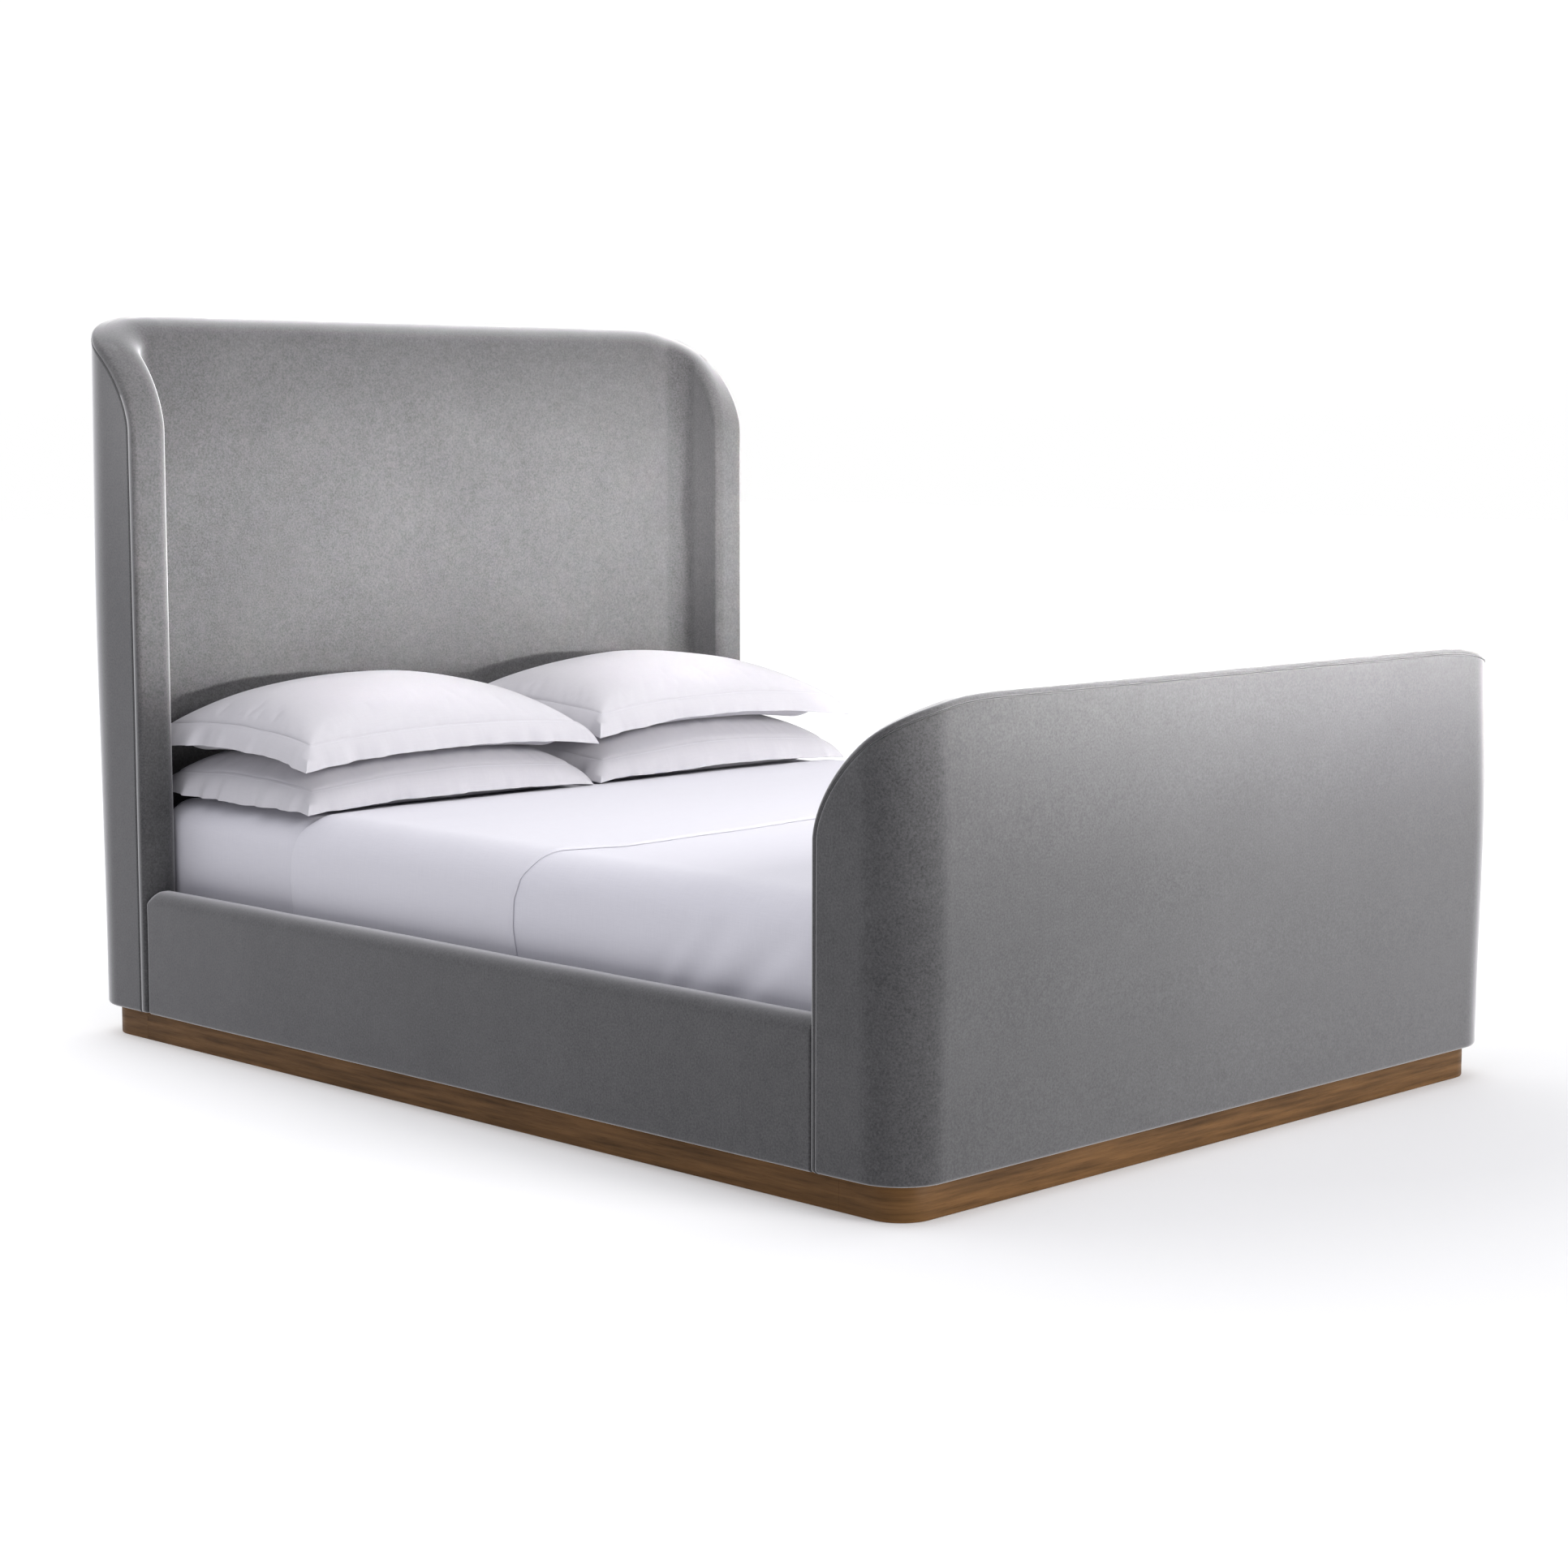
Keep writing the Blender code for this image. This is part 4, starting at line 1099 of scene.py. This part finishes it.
buildMattress()
buildFittedSheet()
buildCoverlet()
buildTopSheet()
print("bedding made")


# four flanged pillows, in two stacks

pillow = {"halfX": 0.349, "halfY": 0.245, "centreX": 0.382, "centreY": 0.785, "flange": 0.052, "pullX": 0.010,
          "pullY": 0.008, "columns": 88, "rows": 62, "flangeRows": 7, "ripple": 0.0120, "ear": 0.0060,
          "flangeThick": 0.0016, "underRound": 0.062, "onBedGap": 0.0022, "onPillowGap": 0.0035}
pillowKinds = {
    "left_lower": {"side": -1, "seam": 0.543, "seamBack": 0.545, "archX": 0.021, "archY": 0.012, "crown": 0.619,
                   "seed": 3.0, "drop": 0.038, "dropMiddle": 0.014, "drawIn": 0.014},
    "left_upper": {"side": -1, "seam": 0.635, "seamBack": 0.644, "archX": 0.017, "archY": 0.016, "crown": 0.737,
                   "seed": 17.0, "drop": 0.043, "dropMiddle": 0.0, "drawIn": 0.002},
    "right_lower": {"side": 1, "seam": 0.543, "seamBack": 0.545, "archX": 0.021, "archY": 0.012, "crown": 0.621,
                    "seed": 43.0, "drop": 0.038, "dropMiddle": 0.014, "drawIn": 0.012},
    "right_upper": {"side": 1, "seam": 0.646, "seamBack": 0.648, "archX": 0.022, "archY": 0.014, "crown": 0.739,
                    "seed": 59.0, "drop": 0.043, "dropMiddle": -0.002, "drawIn": 0.003}}
swell = {"pressure": 4.0, "frames": 20, "grow": -0.006, "cap": 0.014, "bending": 0.6, "tension": 14.0}


def seamPlan(kind, s, t):
    corner = kind["drawIn"] * abs(s * t) ** 7  # stuffed corners draw in
    x = s * (pillow["halfX"] - pillow["pullX"] * (1 - t * t) - corner)
    y = t * (pillow["halfY"] - pillow["pullY"] * (1 - s * s) - corner)
    return Vector((kind["side"] * pillow["centreX"] + x, pillow["centreY"] + middleY + y))


def seamHeight(kind, s, t):
    corner = mix(kind["seam"], kind["seamBack"], 0.5 * (t + 1))
    return (corner + kind["archX"] * (1 - s * s) + kind["archY"] * (1 - t * t)
            + 0.003 * soft(2.2 * s, 2.2 * t, 0.0, kind["seed"]))


def beddingTop(x, y):
    return bedding["top"] + bedding["fitted"] + bedding["sheetThick"] + uneven(x, y - middleY, layOut(x, y - middleY)[1])


def pillowShell(kind, under):
    # top and bottom share the seam; under gives the height of what the pillow lies on, or None
    n, m = pillow["columns"], pillow["rows"]
    crown = kind["crown"] - seamHeight(kind, 0.0, 0.0)
    verts, uvs, faces = [], [], []
    index = {}
    for layer in (0, 1):
        for i in range(n + 1):
            for j in range(m + 1):
                s, t = 2 * i / n - 1, 2 * j / m - 1
                edge = i in (0, n) or j in (0, m)
                if layer and edge:
                    index[(1, i, j)] = index[(0, i, j)]
                    continue
                flat = seamPlan(kind, s, t)
                z = seamHeight(kind, s, t)
                if not edge and layer == 0:
                    dome = ((1 - abs(s) ** 2.1) * (1 - abs(t) ** 2.3)) ** 0.50
                    z += crown * dome + 0.0025 * soft(5.0 * flat.x, 5.0 * flat.y, 0.0, kind["seed"] + 1) * dome
                if not edge and layer == 1:
                    depth = pillow["underRound"]
                    fx = math.sqrt(1 - (1 - min(pillow["halfX"] * (1 - abs(s)) / depth, 1.0)) ** 2)
                    fy = math.sqrt(1 - (1 - min(pillow["halfY"] * (1 - abs(t)) / depth, 1.0)) ** 2)
                    z = under(i, j, flat, z, fx * fy)
                index[(layer, i, j)] = len(verts)
                verts.append(Vector((flat.x, flat.y, z)))
                uvs.append((s * pillow["halfX"], t * pillow["halfY"]))
    for layer in (0, 1):
        for i in range(n):
            for j in range(m):
                quad = tuple(index[(layer, a, b)] for a, b in ((i, j), (i + 1, j), (i + 1, j + 1), (i, j + 1)))
                faces.append(quad if layer == 0 else quad[::-1])
    return verts, uvs, faces, index


def inflate(obj, free):
    # fills the case with pressure; the seam and what lies on the bed stay put
    start = [v.co.copy() for v in obj.data.vertices]
    held = obj.vertex_groups.new(name="held")
    held.add([k for k in range(len(start)) if k not in free], 1.0, "REPLACE")
    modifier = obj.modifiers.new("swell", "CLOTH")
    cloth = modifier.settings
    cloth.quality = 6
    cloth.mass = 0.12
    cloth.tension_stiffness = cloth.compression_stiffness = cloth.shear_stiffness = swell["tension"]
    cloth.bending_stiffness = swell["bending"]
    cloth.tension_damping = cloth.compression_damping = cloth.shear_damping = 8.0
    cloth.air_damping = 2.0
    cloth.use_pressure = True
    cloth.uniform_pressure_force = swell["pressure"]
    cloth.shrink_min = swell["grow"]
    cloth.vertex_group_mass = "held"
    cloth.effector_weights.gravity = 0.0
    modifier.collision_settings.use_collision = False
    scene = bpy.context.scene
    for number in range(1, swell["frames"] + 1):
        scene.frame_set(number)
    graph = bpy.context.evaluated_depsgraph_get()
    made = obj.evaluated_get(graph)
    moved = [v.co.copy() for v in made.data.vertices]
    obj.modifiers.clear()
    obj.vertex_groups.clear()
    scene.frame_set(1)
    for vert, here, there in zip(obj.data.vertices, start, moved):
        step = there - here
        if step.length > swell["cap"]:
            step *= swell["cap"] / step.length
        vert.co = here + step


def flangeStrip(kind, index):
    # the flat border outside the seam, hanging in soft ripples; outer and inner faces make one closed strip
    n, m, count = pillow["columns"], pillow["rows"], pillow["flangeRows"]
    ring = ([(i, 0) for i in range(n)] + [(n, j) for j in range(m)] + [(i, m) for i in range(n, 0, -1)]
            + [(0, j) for j in range(m, 0, -1)])
    outer, stitch = [], []
    run = 0.0
    last = None
    for i, j in ring:
        s, t = 2 * i / n - 1, 2 * j / m - 1
        flat = seamPlan(kind, s, t)
        if last is not None:
            run += (flat - last).length
        last = flat
        nearX = smoothStep(0.965, 1.0, abs(s))
        nearY = smoothStep(0.955, 1.0, abs(t))
        onX, onY = i in (0, n), j in (0, m)
        way = Vector((math.copysign(nearX if onY else 1.0, s), math.copysign(nearY if onX else 1.0, t)))
        corner = min(nearX, nearY) if onX and onY else max(nearX * onY, nearY * onX)
        z = seamHeight(kind, s, t)
        wave = (0.25 * soft(11.0 * run, 0.0, 0.0, kind["seed"] + 5) + 1.0 * soft(25.0 * run, 3.0, 0.0, kind["seed"] + 6)
                + 0.45 * soft(52.0 * run, 5.0, 0.0, kind["seed"] + 8))
        middle = (1 - s * s) if onY else (1 - t * t)
        droop = (kind["drop"] + kind["dropMiddle"] * middle + 0.004 * corner
                 + 0.0025 * soft(7.0 * run, 9.0, 0.0, kind["seed"] + 7))
        line = []
        for k in range(count + 1):
            part = k / count
            across = 0.0285 * (1 - 14.0 * kind["dropMiddle"] * middle) * (1.35 * part - 0.35 * part * part)
            down = droop * (0.62 * part + 0.38 * part * part)
            shift = pillow["ripple"] * wave * part ** 1.2 * (1 - 0.6 * corner)
            reach = across - 0.0022 * (1 - part) + shift + pillow["ear"] * corner * part
            line.append(Vector((flat.x + way.x * reach, flat.y + way.y * reach, z - down + 0.0012 * (1 - part))))
        outer.append(line)
    size = len(ring)
    verts, uvs = [], []
    for k in range(count + 1):
        run = 0.0
        for q in range(size):
            if q:
                run += (outer[q][0] - outer[q - 1][0]).length
            verts.append(outer[q][k])
            uvs.append((run, pillow["flange"] * k / count))
    for k in range(count, -1, -1):
        for q in range(size):
            before, after = outer[q - 1], outer[(q + 1) % size]
            lower = outer[q][min(k + 1, count)]
            upper = outer[q][max(k - 1, 0)]
            normal = (lower - upper).cross(after[k] - before[k]).normalized()
            if normal.z < 0:
                normal = -normal
            verts.append(outer[q][k] - normal * pillow["flangeThick"])
            uvs.append((uvs[k * size + q][0], uvs[k * size + q][1] + 0.06))
    rings = 2 * (count + 1)
    faces = [(k * size + q, k * size + (q + 1) % size, (k + 1) % rings * size + (q + 1) % size, (k + 1) % rings * size + q)
             for k in range(rings) for q in range(size)]
    for q in range(size):
        spot = outer[q][0].lerp(outer[q][1], 0.75)
        side = (outer[q][1] - outer[q][0]).normalized()
        tangent = (outer[(q + 1) % size][0] - outer[q - 1][0]).normalized()
        normal = side.cross(tangent).normalized()
        if normal.z < 0:
            normal = -normal
        stitch.append(spot + normal * 0.0003)
    return verts, uvs, faces, stitch


def buildPillow(name, under):
    kind = pillowKinds[name]
    side, level = name.split("_")
    columns, rows = pillow["columns"], pillow["rows"]
    verts, uvs, faces, index = pillowShell(kind, under)
    body = newObject("%s_pillow_case" % name, verts, faces, pillowCotton, uvs, 80.0)
    free = {index[(0, i, j)] for i in range(1, columns) for j in range(1, rows)}
    inflate(body, free)
    tops = {(i, j): body.data.vertices[index[(0, i, j)]].co.copy() for i in range(columns + 1) for j in range(rows + 1)}
    smooth = body.modifiers.new("finer", "SUBSURF")
    smooth.levels = smooth.render_levels = 1
    bake(body)
    flangeVerts, flangeUvs, flangeFaces, stitch = flangeStrip(kind, index)
    border = newObject("%s_pillow_border" % name, flangeVerts, flangeFaces, pillowCotton, flangeUvs, 70.0)
    bpy.context.view_layer.update()
    with bpy.context.temp_override(active_object=body, selected_editable_objects=[body, border]):
        bpy.ops.object.join()
    bodyName = "%s_%s_pillow" % (side, level)
    node = "pillow_%s_%s" % (side, level)
    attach(body, bodyName)
    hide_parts(node)
    size = len(stitch)
    thread = grow("%s_pillow_stitches" % name, stitchTree, {
        "Pitch": 0.0042, "Stitch Length": 0.0030, "Stitch Radius": 0.00042, "Thread": hemThread},
        stitch, [(k, (k + 1) % size) for k in range(size)])
    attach(thread, bodyName)
    return tops


def onBed(i, j, flat, z, share):
    return mix(z, beddingTop(flat.x, flat.y) + pillow["onBedGap"], share)


def onPillow(tops):
    # the lower side hangs free or lies on the pillow beneath, with a soft change between the two
    def rest(i, j, flat, z, share):
        hang = z - 0.064 * share
        floor = tops[(i, j)].z + pillow["onPillowGap"]
        return max(hang, floor) + 0.002 * math.exp(-abs(hang - floor) / 0.004)
    return rest


for hand in ("left", "right"):
    lowerTops = buildPillow(hand + "_lower", onBed)
    buildPillow(hand + "_upper", onPillow(lowerTops))
print("pillows made")


# floor, light and camera

# glowNear and glowFar set the floor's painted light, a glow that is weaker near the bed
stage = {"floor": (0.78, 0.78, 0.78, 1), "glowNear": 0.15, "glowFar": 0.40, "skyAhead": (1.0, 1.0, 1.0, 1),
         "skyBehind": (0.29, 0.29, 0.325, 1), "zenith": 0.70}
camera = {"place": (-4.326, -4.3673, 1.270), "ahead": (0.7030, 0.7014, -0.1174), "lens": 70.81}


def buildStage():
    bpy.ops.mesh.primitive_plane_add(size=60.0, location=(0.0, 0.0, -0.0002))
    floor = bpy.context.object
    floor.name = "studioFloor"
    mat = bpy.data.materials.new("studioFloorPaintAndGlow")
    mat.use_nodes = True
    tree = mat.node_tree
    shader = tree.nodes["Principled BSDF"]
    shader.inputs["Base Color"].default_value = stage["floor"]
    shader.inputs["Roughness"].default_value = 0.9
    shader.inputs["Emission Color"].default_value = (1.0, 1.0, 1.0, 1)
    where = addNode(tree, "ShaderNodeTexCoord")
    # painted light: the floor glows, less near the bed and more away from it, so the floor brightens away from the
    # object
    apart = addNode(tree, "ShaderNodeVectorMath", {0: where.outputs["Object"], 1: (0.3, -1.0, 0.0)}, operation="DISTANCE")
    glow = spread(tree, apart.outputs["Value"], 0.6, 3.2)
    glow = mathNode(tree, "MULTIPLY", glow, stage["glowFar"] - stage["glowNear"])
    glow = mathNode(tree, "ADD", glow, stage["glowNear"])
    tree.links.new(glow, shader.inputs["Emission Strength"])
    shader.inputs["Specular IOR Level"].default_value = 0.1
    floor.data.materials.append(mat)
    world = bpy.data.worlds.new("studioWhite")
    world.use_nodes = True
    tree = world.node_tree
    way = addNode(tree, "ShaderNodeTexCoord").outputs["Generated"]
    # the far side of the room is the brighter one
    toward = addNode(tree, "ShaderNodeVectorMath", {0: way, 1: (0.80, 0.60, 0.0)}, operation="DOT_PRODUCT")
    share = spread(tree, toward.outputs["Value"], -0.35, 0.55)
    split = addNode(tree, "ShaderNodeSeparateXYZ", {0: way})
    lift = mathNode(tree, "MULTIPLY", mathNode(tree, "MAXIMUM", split.outputs["Z"], 0.0), stage["zenith"])
    sky = tree.nodes["Background"]
    tree.links.new(mixColour(tree, share, stage["skyBehind"], stage["skyAhead"]), sky.inputs["Color"])
    tree.links.new(mathNode(tree, "ADD", lift, 1.0), sky.inputs["Strength"])
    bpy.context.scene.world = world


def addSoftbox(name, place, target, size, power, colour, beam=180.0):
    light = bpy.data.lights.new(name, "AREA")
    light.shape = "RECTANGLE"
    light.size, light.size_y = size
    light.energy = power
    light.color = colour
    light.spread = math.radians(beam)
    box = showObject(name, light)
    box.location = place
    box.visible_camera = False
    box.rotation_euler = (Vector(target) - Vector(place)).to_track_quat("-Z", "Y").to_euler()


def buildCamera():
    data = bpy.data.cameras.new("studioCamera")
    data.lens = camera["lens"]
    data.sensor_width = 36.0
    data.clip_end = 200.0
    cam = showObject("studioCamera", data)
    cam.location = camera["place"]
    cam.rotation_euler = Vector(camera["ahead"]).to_track_quat("-Z", "Y").to_euler()
    bpy.context.scene.camera = cam


buildStage()
addSoftbox("farFrontBox", (3.4, -12.0, 1.5), (0.2, 0.0, 0.8), (4.5, 1.6), 540.0, (1.0, 0.985, 0.98))
addSoftbox("footBox", (0.2, -2.8, 1.75), (0.1, -1.16, 1.10), (1.8, 0.5), 11.0, (1.0, 0.985, 0.98), 66.0)
addSoftbox("headboardBox", (0.8, -8.0, 1.35), (0.05, 1.07, 1.02), (2.0, 0.4), 12.0, (1.0, 0.985, 0.98), 8.0)
addSoftbox("wingBox", (-7.2, -1.6, 2.6), (0.72, 1.02, 1.12), (0.7, 0.5), 2.0, (1.0, 0.985, 0.98), 7.0)
addSoftbox("leftHighBox", (-3.4, -0.8, 3.1), (-0.8, 0.8, 0.5), (2.4, 1.8), 9.0, (0.97, 0.98, 1.0))
addSoftbox("overheadBox", (-0.9, -0.1, 4.2), (-0.1, 0.0, 0.3), (3.2, 3.6), 37.0, (1.0, 0.985, 0.985))
buildCamera()
bpy.context.scene.view_settings.view_transform = "Standard"
